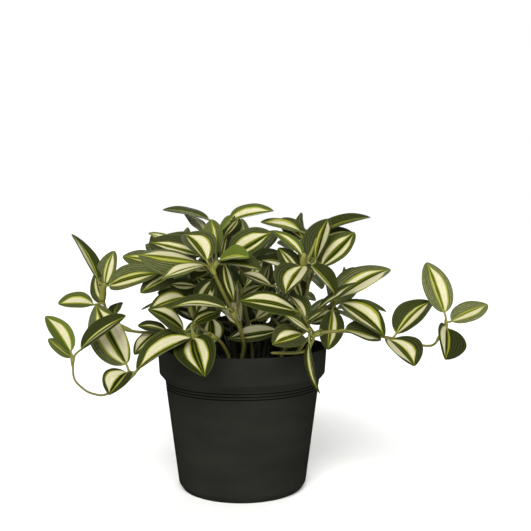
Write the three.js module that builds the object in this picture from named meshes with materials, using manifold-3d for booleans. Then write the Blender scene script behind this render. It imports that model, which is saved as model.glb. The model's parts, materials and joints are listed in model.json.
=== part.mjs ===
import * as THREE from 'three';
import { mergeVertices } from 'three/addons/utils/BufferGeometryUtils.js';
import Module from 'manifold-3d';

const wasm = await Module();
wasm.setup();

// Driving dimensions in millimetres. The pot stands on z = 0 with its axis on the origin.

const gap = 0.3;

const rimRadius = 60;
const rimTop = 100.7;
const bandBottom = 82.2;
const bandBottomRadius = 58.8;
const bodyTop = 77.4;
const bodyTopRadius = 54.8;
const bodyBottom = 4.2;
const bodyBottomRadius = 45.4;
const footRadius = 42.6;
const rimRound = 0.8;
const wall = 1.8;
const floorThickness = 2.4;
const potSides = 36;
const grooveHeights = [76.2, 74.2, 72.2];
const grooveWidth = 0.9;
const grooveDepth = 0.5;

const soilTop = 88;
const stemFoot = 74;
const holeSides = 6;

const stemSides = 5;
const jointSwell = 1.5;
const jointReach = 3;

const bladeThickness = 0.8;
const stalkWidth = 1.5;
const stalkThickness = 1.2;
const shortStalk = 3;
const lookBack = 5;
const plainFold = 0.22;
const archRise = 0.05;
const bladeStations = [0.12, 0.42, 0.78];
const clearance = 0.4;
const ownLeafStart = 0.3;

// Colours, roughness

const potFinish = { color: 0x2b2a25, roughness: 0.5, metalness: 0 };
const soilFinish = { color: 0x15120e, roughness: 1, metalness: 0 };
const leafFinish = { color: 0x4d6a35, roughness: 0.6, metalness: 0 };

// Layout of the stems and leaves. A stem is its thickness at the foot and at the tip, the
// points it passes and which of them are joints. A leaf is the base and the tip of its
// blade, its width, the heading and lift of the way its upper face looks, and how far its
// edges rise over the midrib as a share of the half width. Heading 0 looks along +X and 90
// along +Y.

const shoots = [
  {
    name: 'stem_front_tall',
    stems: [
      {
        thick: [3.2, 2.2], joints: [3, 5],
        points: [[0, -30, 74], [0, -30, 92], [2, -37, 108], [-4, -46, 127], [-10, -54, 141],
          [-17, -58, 157]],
      },
      {
        thick: [1.9, 1.3], joints: [],
        points: [[-4, -46, 127], [-1, -43, 134], [-1, -38, 143]],
      },
    ],
    leaves: [
      [-21, -62, 164, -36, -50, 181, 23, -63, 46, 0.33],
      [-16, -46, 168, -19, -38, 190, 16, -120, 14, 0.22],
      [-28, -56, 163, -64, -66, 168, 23, -68, 40, -0.35],
      [-13, -58, 164, 6, -70, 167, 17, -135, 58, 0.3],
      [-13, -57, 162, 14, -66, 158, 18, -93, 62, 0.36],
      [-23, -60, 161, -48, -77, 154, 12, -84, 64, 0.12],
      [-18, -43, 150, -30, -31, 126, 18, -124, -8, 0.16],
      [-17, -45, 153, -9, -40, 136, 12, -105, 0, 0.22],
      [-10, -52, 162, -3, -50, 136, 17, -128, -13, 0.28],
      [-2, -40, 120, -13, -48, 133, 10, -25, 27, 0.2],
      [-9, -52, 132, -43, -70, 136, 13, -53, 56, 0.41],
      [-25, -44, 166, -61, -38, 175, 21, -84, 48, 0.32],
      [0, -34, 121, -1, -29, 149, 12, -136, 6, 0.15],
    ],
  },
  {
    name: 'stem_front_left',
    stems: [
      {
        thick: [2.8, 2], joints: [3, 4],
        points: [[-7, -38, 74], [-7, -38, 92], [-10, -42, 104], [-17, -48, 113], [-29, -57, 115]],
      },
      {
        thick: [2, 1.6], joints: [2],
        points: [[-17, -48, 113], [-27, -48, 120], [-32, -46, 129], [-34, -43, 138]],
      },
    ],
    leaves: [
      [-30, -61, 114, -20, -95, 96, 26, -90, 30, 0.22],
      [-31, -61, 114, -63, -78, 95, 26, -118, 58, 0.5],
      [-37, -45, 139, -60, -45, 131, 18, -113, 48, 0.39],
      [-37, -52, 118, -57, -69, 134, 17, -30, 29, 0.1],
      [-30, -54, 123, -13, -44, 129, 12, -86, 56, 0.15],
      [-20, -43, 125, -21, -38, 103, 20, -56, -12, 0.2],
    ],
  },
  {
    name: 'stem_left_trailing',
    stems: [
      {
        thick: [2.6, 1.4], joints: [5, 10],
        points: [[-23, -25, 74], [-23, -25, 91], [-36, -36, 107], [-50, -44, 108], [-62, -46, 98],
          [-71, -46, 88], [-88, -45, 75], [-98, -45, 75], [-105, -45, 79], [-110, -45, 85],
          [-111, -45, 95]],
      },
    ],
    leaves: [
      [-75, -48, 95, -96, -42, 134, 26, -105, 1, 0.25],
      [-103, -55, 106, -71, -68, 129, 18, -139, 34, 0.43],
      [-112, -46, 103, -130, -38, 126, 15, -55, 36, 0.31],
      [-74, -50, 90, -83, -66, 78, 20, -105, 56, 0.41],
      [-112, -44, 99, -128, -41, 111, 9, -140, 50, 0.22],
    ],
  },
  {
    name: 'stem_left_high',
    stems: [
      {
        thick: [2.8, 1.8], joints: [4, 6],
        points: [[-15, -13, 74], [-15, -13, 91], [-34, -22, 107], [-55, -30, 113],
          [-76, -33, 116], [-90, -31, 128], [-94, -30, 142]],
      },
      {
        thick: [5.2, 3.4], joints: [],
        points: [[-94, -30, 135], [-93, -31, 142], [-91, -33, 148]],
      },
    ],
    leaves: [
      [-96, -32, 149, -116, -22, 180, 14, -32, 36, 0.25],
      [-92, -30, 145, -87, -22, 169, 14, -103, 20, 0.2],
      [-94, -24, 133, -101, -12, 154, 14, -124, 16, 0.2],
      [-88, -34, 146, -54, -46, 155, 19, -118, 31, 0.2],
      [-99, -34, 133, -121, -42, 134, 16, -67, 54, 0.45],
      [-50, -34, 115, -68, -43, 120, 11, -90, 50, 0.22],
      [-57, -28, 114, -72, -36, 100, 13, -113, 43, 0.2],
      [-87, -24, 124, -86, -10, 132, 12, -135, 53, 0.2],
    ],
  },
  {
    name: 'stem_left_middle',
    stems: [
      {
        thick: [2.8, 1.8], joints: [2, 4],
        points: [[-12, 3, 74], [-12, 3, 92], [-28, -10, 125], [-40, -22, 145], [-47, -30, 156]],
      },
    ],
    leaves: [
      [-49, -33, 157, -80, -30, 167, 16, -90, 40, 0.22],
      [-46, -27, 158, -62, -16, 180, 16, -90, 20, 0.22],
      [-44, -25, 157, -38, -6, 180, 15, -80, 20, 0.22],
      [-46, -34, 153, -64, -52, 146, 15, -90, 35, 0.22],
      [-33, -13, 128, -58, -20, 140, 16, -100, 40, 0.22],
      [-24, -14, 128, -22, -34, 144, 14, -90, 40, 0.22],
      [-30, -6, 130, -44, 16, 146, 17, -90, 50, 0.22],
      [-46, -32, 172, -63, -25, 181, 9, -64, 57, 0.2],
      [-23, -22, 156, -41, -20, 160, 15, -106, -36, 0.08],
      [-31, -24, 145, -49, -22, 148, 14, -102, -32, 0.08],
    ],
  },
  {
    name: 'stem_top_left',
    stems: [
      {
        thick: [2.8, 2], joints: [2, 4],
        points: [[-5, -8, 74], [-5, -8, 92], [-9, -14, 130], [-13, -19, 158], [-16, -22, 178]],
      },
    ],
    leaves: [
      [-22, -23, 190, -53, -27, 197, 16, -90, 70, 0.22],
      [-23, -22, 179, -40, -12, 195, 12, -47, 50, 0.14],
      [-8, -26, 189, 22, -32, 196, 14, -115, 45, 0.47],
      [-13, -29, 183, -4, -25, 194, 8, -119, 36, 0.3],
      [-12, -19, 178, -2, -5, 191, 12, -90, 20, 0.22],
      [-7, -32, 166, 20, -34, 182, 20, -111, 26, 0.25],
      [-22, -26, 172, -58, -30, 171, 16, -90, 35, 0.22],
      [-4, -16, 134, 16, -28, 146, 15, -90, 30, 0.22],
      [-12, -12, 134, -34, 0, 150, 15, -120, 40, 0.22],
      [-19, -20, 155, -19, -12, 172, 15, -132, 19, 0.08],
      [-13, -22, 164, -10, -12, 181, 13, -130, 29, 0.08],
    ],
  },
  {
    name: 'stem_centre_low',
    stems: [
      {
        thick: [2.8, 1.8], joints: [2, 4],
        points: [[8, -24, 74], [8, -24, 92], [6, -25, 112], [3, -27, 130], [0, -31, 141]],
      },
    ],
    leaves: [
      [3, -16, 118, -4, -5, 148, 16, -90, 20, 0.22],
      [3, -28, 145, 17, -22, 166, 14, -90, 20, 0.22],
      [10, -24, 122, 28, -25, 131, 12, -90, 40, 0.22],
    ],
  },
  {
    name: 'stem_centre_right',
    stems: [
      {
        thick: [2.6, 1.8], joints: [2, 4],
        points: [[15, -12, 74], [15, -12, 92], [19, -17, 114], [24, -24, 134], [26, -28, 146]],
      },
    ],
    leaves: [
      [20, -35, 146, 0, -43, 155, 11, -41, 47, 0.12],
      [31, -26, 160, 13, -30, 163, 15, -65, 52, 0.26],
      [30, -24, 149, 34, -14, 169, 16, -122, 28, 0.34],
      [24, -29, 115, -9, -31, 110, 12, -91, 22, 0.1],
      [22, -14, 117, 40, -6, 128, 15, -90, 40, 0.22],
      [15, -14, 119, 4, 6, 134, 15, -90, 30, 0.22],
      [15, -12, 140, 20, -6, 160, 15, -131, 21, 0.08],
    ],
  },
  {
    name: 'stem_centre_inner',
    stems: [
      {
        thick: [2.6, 2], joints: [2],
        points: [[12, 5, 74], [12, 5, 92], [12, 7, 105]],
      },
    ],
    leaves: [
      [8, 5, 107, -22, 14, 116, 17, -90, 30, 0.22],
      [17, 6, 107, 48, 4, 115, 17, -90, 30, 0.22],
      [12, 11, 110, 6, 24, 140, 16, -90, 20, 0.22],
      [16, 4, 103, 44, -6, 99, 14, -90, 50, 0.22],
    ],
  },
  {
    name: 'stem_right_front',
    stems: [
      {
        thick: [3, 1.6], joints: [3, 5, 8],
        points: [[34, -36, 74], [34, -36, 91], [40, -43, 106], [49, -49, 115], [67, -48, 117],
          [84, -43, 114], [101, -39, 111], [126, -33, 105], [134, -30, 110], [139, -28, 121]],
      },
      {
        thick: [2.2, 1.8], joints: [2],
        points: [[49, -49, 115], [44, -53, 122], [40, -52, 129]],
      },
      {
        thick: [2.2, 2], joints: [],
        points: [[49, -49, 115], [44, -49, 105], [34, -50, 103], [20, -51, 103]],
      },
    ],
    leaves: [
      [40, -56, 116, 21, -70, 112, 21, -68, 55, 0.12],
      [45, -54, 117, 29, -64, 131, 12, -22, 38, 0.1],
      [45, -56, 110, 51, -59, 78, 13, -155, 0, 0.3],
      [68, -52, 118, 92, -50, 111, 18, -60, 55, 0.36],
      [42, -50, 125, 31, -42, 141, 16, -44, 40, 0.43],
      [44, -56, 125, 53, -63, 132, 10, -154, 36, 0.2],
      [36, -53, 131, 0, -68, 139, 19, -55, 47, 0.15],
      [104, -38, 114, 130, -22, 135, 21, -105, 47, 0.2],
      [99, -41, 110, 112, -62, 96, 26, -60, 60, 0.32],
      [138, -28, 127, 128, -16, 161, 21, -81, 22, 0.22],
      [143, -27, 121, 170, -18, 131, 17, -93, 47, 0.23],
      [139, -31, 117, 134, -52, 99, 24, -50, 35, 0.26],
    ],
  },
  {
    name: 'stem_right_middle',
    stems: [
      {
        thick: [2.8, 1.8], joints: [3, 4],
        points: [[27, -13, 74], [27, -13, 92], [42, -24, 114], [54, -32, 128], [64, -35, 136]],
      },
    ],
    leaves: [
      [64, -36, 137, 102, -22, 157, 25, -111, 53, 0.39],
      [52, -45, 132, 75, -56, 149, 14, -157, 45, 0.15],
      [67, -37, 134, 93, -52, 112, 26, -63, 49, 0.22],
      [61, -38, 130, 58, -36, 103, 18, -69, -6, 0.2],
      [66, -31, 138, 78, -4, 148, 16, -90, 40, 0.22],
      [47, -23, 119, 68, -12, 127, 15, -90, 40, 0.22],
    ],
  },
  {
    name: 'stem_right_tall',
    stems: [
      {
        thick: [2.8, 2.4], joints: [2, 4],
        points: [[26, -30, 74], [26, -30, 92], [38, -33, 124], [45, -34, 145], [42, -37, 161]],
      },
      {
        thick: [2, 1.6], joints: [2],
        points: [[45, -34, 145], [50, -27, 160], [47, -18, 176]],
      },
      {
        thick: [2.8, 1.4], joints: [],
        points: [[42, -37, 161], [46, -42, 167], [50, -44, 178]],
      },
      {
        thick: [5.2, 3.2], joints: [],
        points: [[43, -38, 157], [41, -42, 162], [42, -45, 168]],
      },
    ],
    leaves: [
      [50, -36, 163, 59, -24, 191, 22, -133, 28, 0.35],
      [54, -35, 159, 77, -26, 181, 21, -114, 39, 0.2],
      [41, -42, 159, 29, -64, 143, 25, -117, 57, 0.33],
      [46, -42, 160, 62, -56, 142, 18, -51, 49, 0.36],
      [41, -39, 166, 22, -32, 182, 12, -57, 46, 0.35],
      [41, -31, 137, 34, -22, 158, 14, -100, 10, 0.22],
      [40, -20, 182, 13, -28, 188, 13, -59, 50, 0.25],
      [42, -14, 178, 41, -2, 195, 12, -153, 15, 0.2],
      [43, -17, 176, 28, -6, 187, 14, -90, 25, 0.22],
      [52, -17, 180, 90, -8, 192, 17, -90, 66, 0.22],
      [53, -16, 175, 78, -4, 182, 14, -90, 40, 0.22],
      [40, -30, 150, 24, -20, 166, 15, -90, 30, 0.22],
    ],
  },
];

// Stems at the back and inside the bush are placed by rule: heading and distance of the tip
// from the pot's axis, height of the tip, leaves at the middle joint and at the tip, and the
// start of the row of random numbers.

const hiddenShoots = [
  { name: 'stem_back_a', heading: 25, reach: 72, height: 124, leaves: [2, 5], seed: 11 },
  { name: 'stem_back_b', heading: 50, reach: 68, height: 150, leaves: [2, 5], seed: 23 },
  { name: 'stem_back_c', heading: 72, reach: 98, height: 126, leaves: [2, 5], seed: 37 },
  { name: 'stem_back_d', heading: 92, reach: 56, height: 154, leaves: [2, 5], seed: 41 },
  { name: 'stem_back_e', heading: 110, reach: 104, height: 112, leaves: [2, 5], seed: 59 },
  { name: 'stem_back_f', heading: 132, reach: 60, height: 148, leaves: [2, 5], seed: 70 },
  { name: 'stem_back_g', heading: 150, reach: 44, height: 130, leaves: [2, 5], seed: 85 },
  { name: 'stem_inner_high', heading: 80, reach: 14, height: 150, leaves: [2, 5], seed: 83 },
];
const overRim = 113;
const goldenTurn = 137.5;
const firstSpread = 34;
const spreadRange = 44;
const whorlStalk = 5;
const whorlLength = 33;
const whorlFaceLift = 50;
const hiddenThickness = [2.8, 2];
const hiddenFootReach = 30;

// Vector helpers

function vector(values) {
  return new THREE.Vector3(values[0], values[1], values[2]);
}

function radians(degrees) {
  return degrees * Math.PI / 180;
}

function direction(heading, lift) {
  const level = Math.cos(radians(lift));
  return new THREE.Vector3(
    level * Math.cos(radians(heading)),
    level * Math.sin(radians(heading)),
    Math.sin(radians(lift)),
  );
}

function squareTo(way, axis) {
  return way.clone().addScaledVector(axis, -way.dot(axis)).normalize();
}

// Solids. Rings of points, all with the same count, are lofted in order and closed.

function solidFrom(points, triangles) {
  const flat = [];
  for (const point of points) {
    flat.push(point.x, point.y, point.z);
  }
  const mesh = new wasm.Mesh({
    numProp: 3,
    vertProperties: new Float32Array(flat),
    triVerts: new Uint32Array(triangles.flat()),
  });
  mesh.merge();
  return new wasm.Manifold(mesh);
}

function solidFromGeometry(geometry) {
  geometry.deleteAttribute('normal');
  geometry.deleteAttribute('uv');
  const merged = mergeVertices(geometry, 1e-4);
  const mesh = new wasm.Mesh({
    numProp: 3,
    vertProperties: new Float32Array(merged.attributes.position.array),
    triVerts: new Uint32Array(merged.index.array),
  });
  return new wasm.Manifold(mesh);
}

function geometryFromSolid(solid) {
  const mesh = solid.getMesh();
  const geometry = new THREE.BufferGeometry();
  geometry.setAttribute('position', new THREE.BufferAttribute(mesh.vertProperties, 3));
  geometry.setIndex(new THREE.BufferAttribute(mesh.triVerts, 1));
  geometry.computeVertexNormals();
  return geometry;
}

// Stems

function curvePoint(points, t) {
  const last = points.length - 1;
  const index = Math.min(Math.floor(t), last - 1);
  const u = t - index;
  const p1 = points[index];
  const p2 = points[index + 1];
  const p0 = index > 0 ? points[index - 1] : p1.map((value, axis) => 2 * value - p2[axis]);
  const p3 = index + 2 <= last ? points[index + 2] : p2.map((value, axis) => 2 * value - p1[axis]);
  return vector(p1.map((value, axis) => {
    const bend = 2 * p0[axis] - 5 * value + 4 * p2[axis] - p3[axis];
    const swing = 3 * value - p0[axis] - 3 * p2[axis] + p3[axis];
    return 0.5 * (2 * value + (p2[axis] - p0[axis]) * u + bend * u * u + swing * u * u * u);
  }));
}

function stemStations(stem) {
  const last = stem.points.length - 1;
  const stations = [];
  for (let index = 0; index <= last; index += 1) {
    if (stem.joints.includes(index)) {
      const here = curvePoint(stem.points, index);
      const before = curvePoint(stem.points, index - 0.5).distanceTo(here) * 2;
      stations.push([index - jointReach / before, 1], [index, jointSwell]);
      if (index < last) {
        const after = curvePoint(stem.points, index + 0.5).distanceTo(here) * 2;
        stations.push([index + jointReach / after, 1]);
      }
    } else {
      stations.push([index, 1]);
    }
  }
  return stations;
}

function stemSolid(stem) {
  const last = stem.points.length - 1;
  const stations = stemStations(stem);
  const centres = stations.map(([t]) => curvePoint(stem.points, t));
  const points = [];
  let across = null;
  stations.forEach(([t, swell], index) => {
    const before = centres[Math.max(index - 1, 0)];
    const after = centres[Math.min(index + 1, centres.length - 1)];
    const along = after.clone().sub(before).normalize();
    across = across ? squareTo(across, along) : squareTo(new THREE.Vector3(1, 0, 0), along);
    const other = along.clone().cross(across);
    const radius = (stem.thick[0] + (stem.thick[1] - stem.thick[0]) * t / last) / 2 * swell;
    for (let side = 0; side < stemSides; side += 1) {
      const angle = 2 * Math.PI * side / stemSides;
      points.push(centres[index].clone()
        .addScaledVector(across, radius * Math.cos(angle))
        .addScaledVector(other, radius * Math.sin(angle)));
    }
  });
  return loft(points, stemSides);
}

function loft(points, ring) {
  const rings = points.length / ring;
  const triangles = [];
  for (let index = 0; index < rings - 1; index += 1) {
    for (let side = 0; side < ring; side += 1) {
      const a = index * ring + side;
      const b = index * ring + (side + 1) % ring;
      triangles.push([a, b, b + ring], [a, b + ring, a + ring]);
    }
  }
  for (let side = 1; side < ring - 1; side += 1) {
    triangles.push([0, side + 1, side]);
    const end = (rings - 1) * ring;
    triangles.push([end, end + side, end + side + 1]);
  }
  return solidFrom(points, triangles);
}

// Leaves. A blade is folded a little along its midrib and arched over its length.

function bladeHalfWidth(s) {
  return 1.08 * s ** 0.5 * (1 - s) ** 0.62;
}

function leafFrame(row, shift) {
  const start = vector(row.slice(0, 3));
  const reach = vector(row.slice(3, 6)).sub(start);
  const length = reach.length();
  const along = reach.normalize();
  const face = squareTo(direction(row[7], row[8]), along);
  const side = face.clone().cross(along);
  const swungAlong = along.clone()
    .multiplyScalar(Math.cos(radians(shift.swing)) * Math.cos(radians(shift.turn)))
    .addScaledVector(face, Math.sin(radians(shift.swing)))
    .addScaledVector(side, Math.sin(radians(shift.turn)))
    .normalize();
  const swungFace = squareTo(face, swungAlong);
  return {
    base: start.addScaledVector(face, shift.lift),
    length,
    width: row[6],
    fold: row[9],
    along: swungAlong,
    face: swungFace,
    side: swungFace.clone().cross(swungAlong),
  };
}

function bladePoint(frame, s, across, off) {
  const half = s > 0 ? frame.width * bladeHalfWidth(s) : stalkWidth / 2;
  const rise = archRise * frame.length * 4 * s * (1 - s) + frame.fold * half * Math.abs(across);
  return frame.base.clone()
    .addScaledVector(frame.along, frame.length * s)
    .addScaledVector(frame.side, half * across)
    .addScaledVector(frame.face, rise + off);
}

function bladeSolid(frame, root, from, margin) {
  const points = [];
  const triangles = [];
  const off = bladeThickness / 2 + margin;
  if (root) {
    const stalk = frame.base.clone().sub(root);
    const leave = stalk.length() > shortStalk ? stalk.normalize() : frame.along;
    const bisector = leave.clone().add(frame.along).normalize();
    for (const [centre, along] of [[root, leave], [frame.base, bisector]]) {
      const face = squareTo(frame.face, along);
      const side = face.clone().cross(along);
      for (const [across, up] of [[-1, 1], [1, 1], [0, -1]]) {
        points.push(centre.clone()
          .addScaledVector(side, across * (stalkWidth / 2 + margin))
          .addScaledVector(face, up * (stalkThickness / 2 + margin)));
      }
    }
    triangles.push([0, 1, 2], [0, 3, 1], [1, 3, 4], [1, 4, 2], [2, 4, 5], [2, 5, 0], [0, 5, 3]);
    triangles.push([3, 6, 7], [3, 7, 4], [4, 7, 8], [4, 8, 9], [4, 9, 5]);
    triangles.push([5, 9, 10], [5, 10, 11], [5, 11, 3], [3, 11, 6]);
  }
  const first = points.length;
  const stations = from > 0 ? [from] : [];
  stations.push(...bladeStations.filter((s) => s > from));
  for (const s of stations) {
    for (const [across, up] of [[-1, 1], [0, 1], [1, 1], [1, -1], [0, -1], [-1, -1]]) {
      const point = bladePoint(frame, s, across, up * off);
      points.push(point.addScaledVector(frame.side, across * margin));
    }
  }
  const tip = points.length;
  points.push(bladePoint(frame, 1, 0, off).addScaledVector(frame.along, margin));
  points.push(bladePoint(frame, 1, 0, -off).addScaledVector(frame.along, margin));
  if (!root) {
    triangles.push([0, 1, 5], [1, 4, 5], [1, 2, 3], [1, 3, 4]);
  }
  const end = tip - 6;
  for (let a = first; a < end; a += 6) {
    const b = a + 6;
    triangles.push([a, b, a + 1], [b, b + 1, a + 1]);
    triangles.push([a + 1, b + 1, a + 2], [b + 1, b + 2, a + 2]);
    triangles.push([a + 5, a + 4, b + 5], [b + 5, a + 4, b + 4]);
    triangles.push([a + 4, a + 3, b + 4], [b + 4, a + 3, b + 3]);
    triangles.push([a + 2, b + 2, a + 3], [b + 2, b + 3, a + 3]);
    triangles.push([a, a + 5, b], [b, a + 5, b + 5]);
  }
  triangles.push([end, tip, end + 1], [end + 1, tip, end + 2]);
  triangles.push([end + 4, tip + 1, end + 5], [end + 3, tip + 1, end + 4]);
  triangles.push([end + 2, tip, end + 3], [tip, tip + 1, end + 3]);
  triangles.push([end, end + 5, tip], [tip, end + 5, tip + 1]);
  return solidFrom(points, triangles);
}

// Hidden stems

function randomRow(seed) {
  let state = seed;
  return (low, high) => {
    state = state * 16807 % 2147483647;
    return low + (high - low) * state / 2147483647;
  };
}

function whorl(centre, axis, count, random) {
  const across = squareTo(new THREE.Vector3(0, 0, 1).addScaledVector(axis, 0.01), axis);
  const other = axis.clone().cross(across);
  const phase = random(0, 360);
  const rows = [];
  for (let index = 0; index < count; index += 1) {
    const spread = radians(firstSpread + spreadRange * index / count + random(-6, 6));
    const turn = radians(phase + goldenTurn * index);
    const length = whorlLength + random(-3, 3) + (index > 0 ? 4 : -4);
    const along = axis.clone().multiplyScalar(Math.cos(spread))
      .addScaledVector(across, Math.sin(spread) * Math.cos(turn))
      .addScaledVector(other, Math.sin(spread) * Math.sin(turn));
    const base = centre.clone().addScaledVector(along, whorlStalk);
    const tip = base.clone().addScaledVector(along, length);
    const width = length * random(0.48, 0.54);
    const heading = Math.atan2(axis.y, axis.x) * 180 / Math.PI;
    rows.push([...base.toArray(), ...tip.toArray(), width, heading, whorlFaceLift, plainFold]);
  }
  return rows;
}

function hiddenShoot({ name, heading, reach, height, leaves, seed }) {
  const random = randomRow(seed);
  const out = direction(heading, 0);
  const footReach = Math.min(hiddenFootReach, reach * 0.8);
  const span = reach - footReach;
  const rise = height - soilTop;
  const lowest = reach > rimRadius ? overRim : soilTop;
  const profile = [
    [footReach, stemFoot],
    [footReach, soilTop + 4],
    [footReach + span * 0.35, Math.max(soilTop + rise * 0.6, lowest)],
    [footReach + span * 0.75, Math.max(soilTop + rise * 0.88, lowest + 4)],
    [reach, height],
  ];
  const points = profile.map(([distance, z]) => [out.x * distance, out.y * distance, z]);
  const [, low, middle, high, tip] = points.map(vector);
  const middleWay = middle.clone().sub(low).normalize();
  const tipWay = tip.clone().sub(high).normalize();
  tipWay.z += 0.3;
  tipWay.normalize();
  return {
    name,
    stems: [{ thick: hiddenThickness, joints: [2, 4], points }],
    leaves: [
      ...whorl(tip, tipWay, leaves[1], random),
      ...whorl(middle, middleWay, leaves[0], random),
    ],
  };
}

// Where a leaf stalk leaves its stem: the nearest stem point to a spot behind the blade

function stalkRoot(shoot, row) {
  const base = vector(row.slice(0, 3));
  const along = vector(row.slice(3, 6)).sub(base).normalize();
  const target = base.addScaledVector(along, -lookBack);
  let best = null;
  for (const stem of shoot.stems) {
    for (let t = 0; t <= stem.points.length - 1; t += 0.125) {
      const point = curvePoint(stem.points, t);
      if (!best || point.distanceTo(target) < best.distanceTo(target)) {
        best = point;
      }
    }
  }
  return best;
}

// A leaf that would cross another is bent a little, by the first of these shifts that is clear

function leafShifts() {
  const shifts = [];
  for (const turn of [0, 6, -6, 12, -12]) {
    for (const lift of [0, 1.5, -1.5, 3, -3]) {
      for (const swing of [0, 5, -5, 10, -10, 15, -15, 22, -22]) {
        shifts.push({ turn, lift, swing });
      }
    }
  }
  return shifts;
}

function boxesMeet(a, b) {
  return [0, 1, 2].every((axis) => a.min[axis] < b.max[axis] && b.min[axis] < a.max[axis]);
}

function crosses(solid, others) {
  const box = solid.boundingBox();
  return others.some((other) => boxesMeet(box, other.box) && !solid.intersect(other.solid).isEmpty());
}

function thing(owner, solid) {
  return { owner, solid, box: solid.boundingBox() };
}

function placeLeaf(shoot, row, all, own) {
  const root = stalkRoot(shoot, row);
  for (const shift of leafShifts()) {
    const frame = leafFrame(row, shift);
    const whole = bladeSolid(frame, root, 0, clearance);
    if (crosses(whole, all)) {
      continue;
    }
    const outer = bladeSolid(frame, null, ownLeafStart, clearance);
    if (!crosses(outer, own)) {
      own.push(thing(shoot.name, bladeSolid(frame, null, ownLeafStart, 0)));
      return bladeSolid(frame, root, 0, 0);
    }
  }
  return null;
}

// Pot and soil

function potOutline() {
  const outline = [[0, 0], [footRadius, 0]];
  outline.push([footRadius + 1.7, 0.8], [footRadius + 2.6, 2.4], [bodyBottomRadius, bodyBottom]);
  const slope = (bodyTopRadius - bodyBottomRadius) / (bodyTop - bodyBottom);
  for (const height of [...grooveHeights].reverse()) {
    const radius = bodyBottomRadius + slope * (height - bodyBottom);
    outline.push([radius, height - grooveWidth / 2], [radius - grooveDepth, height]);
    outline.push([radius, height + grooveWidth / 2]);
  }
  outline.push([bodyTopRadius, bodyTop], [bandBottomRadius, bandBottom]);
  outline.push([rimRadius, rimTop - rimRound], [rimRadius - rimRound, rimTop]);
  outline.push([rimRadius - wall, rimTop], ...innerOutline(0), [0, floorThickness]);
  return outline;
}

function innerOutline(inset) {
  const inward = wall + inset;
  return [
    [rimRadius - inward, rimTop - rimRound],
    [bandBottomRadius - inward, bandBottom],
    [bodyTopRadius - inward, bodyTop - 1],
    [bodyBottomRadius - inward, bodyBottom + inset],
    [footRadius - inward, floorThickness + inset],
  ];
}

function turned(outline) {
  const points = outline.map(([radius, height]) => new THREE.Vector2(radius, height));
  const geometry = new THREE.LatheGeometry(points, potSides);
  geometry.rotateX(Math.PI / 2);
  return solidFromGeometry(geometry);
}

function potSolid() {
  return turned(potOutline());
}

function soilSolid(stems) {
  const [top, band, ...rest] = innerOutline(gap);
  const share = (soilTop - band[1]) / (top[1] - band[1]);
  const edge = band[0] + (top[0] - band[0]) * share;
  const outline = [[0, soilTop], [edge, soilTop], band, ...rest];
  outline.push([0, floorThickness + gap]);
  let soil = turned(outline.reverse());
  for (const stem of stems) {
    const [x, y] = stem.points[0];
    const radius = (stem.thick[0] / 2 + gap) / Math.cos(Math.PI / holeSides);
    const hole = new THREE.CylinderGeometry(radius, radius, 2 * (soilTop - stemFoot), holeSides);
    hole.rotateX(Math.PI / 2);
    hole.translate(x, y, soilTop - gap);
    soil = soil.subtract(solidFromGeometry(hole));
  }
  return soil;
}

// Assembly

const group = new THREE.Group();

function addNode(name, solid, finish) {
  const mesh = new THREE.Mesh(geometryFromSolid(solid), new THREE.MeshStandardMaterial(finish));
  mesh.name = name;
  group.add(mesh);
}

const pot = potSolid();
shoots.push(...hiddenShoots.map(hiddenShoot));
const soil = soilSolid(shoots.map((shoot) => shoot.stems[0]));
const placed = [thing('pot', pot), thing('soil', soil)];
for (const shoot of shoots) {
  for (const stem of shoot.stems) {
    placed.push(thing(shoot.name, stemSolid(stem)));
  }
}
addNode('pot', pot, potFinish);
addNode('soil', soil, soilFinish);
for (const shoot of shoots) {
  const others = placed.filter((item) => item.owner !== shoot.name);
  const own = placed.filter((item) => item.owner === shoot.name);
  let solid = own.map((item) => item.solid).reduce((sum, next) => sum.add(next));
  for (const row of shoot.leaves) {
    const blade = placeLeaf(shoot, row, others, own);
    if (blade) {
      solid = solid.add(blade);
      placed.push(thing(shoot.name, blade));
    }
  }
  addNode(shoot.name, solid, leafFinish);
}

export default group;
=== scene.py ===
"""Potted tradescantia: striped leaves on branching stems, dark soil and a round dark pot.

Lengths are in millimetres until a mesh is made, and metres in Blender.
"""

import json
import math

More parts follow.
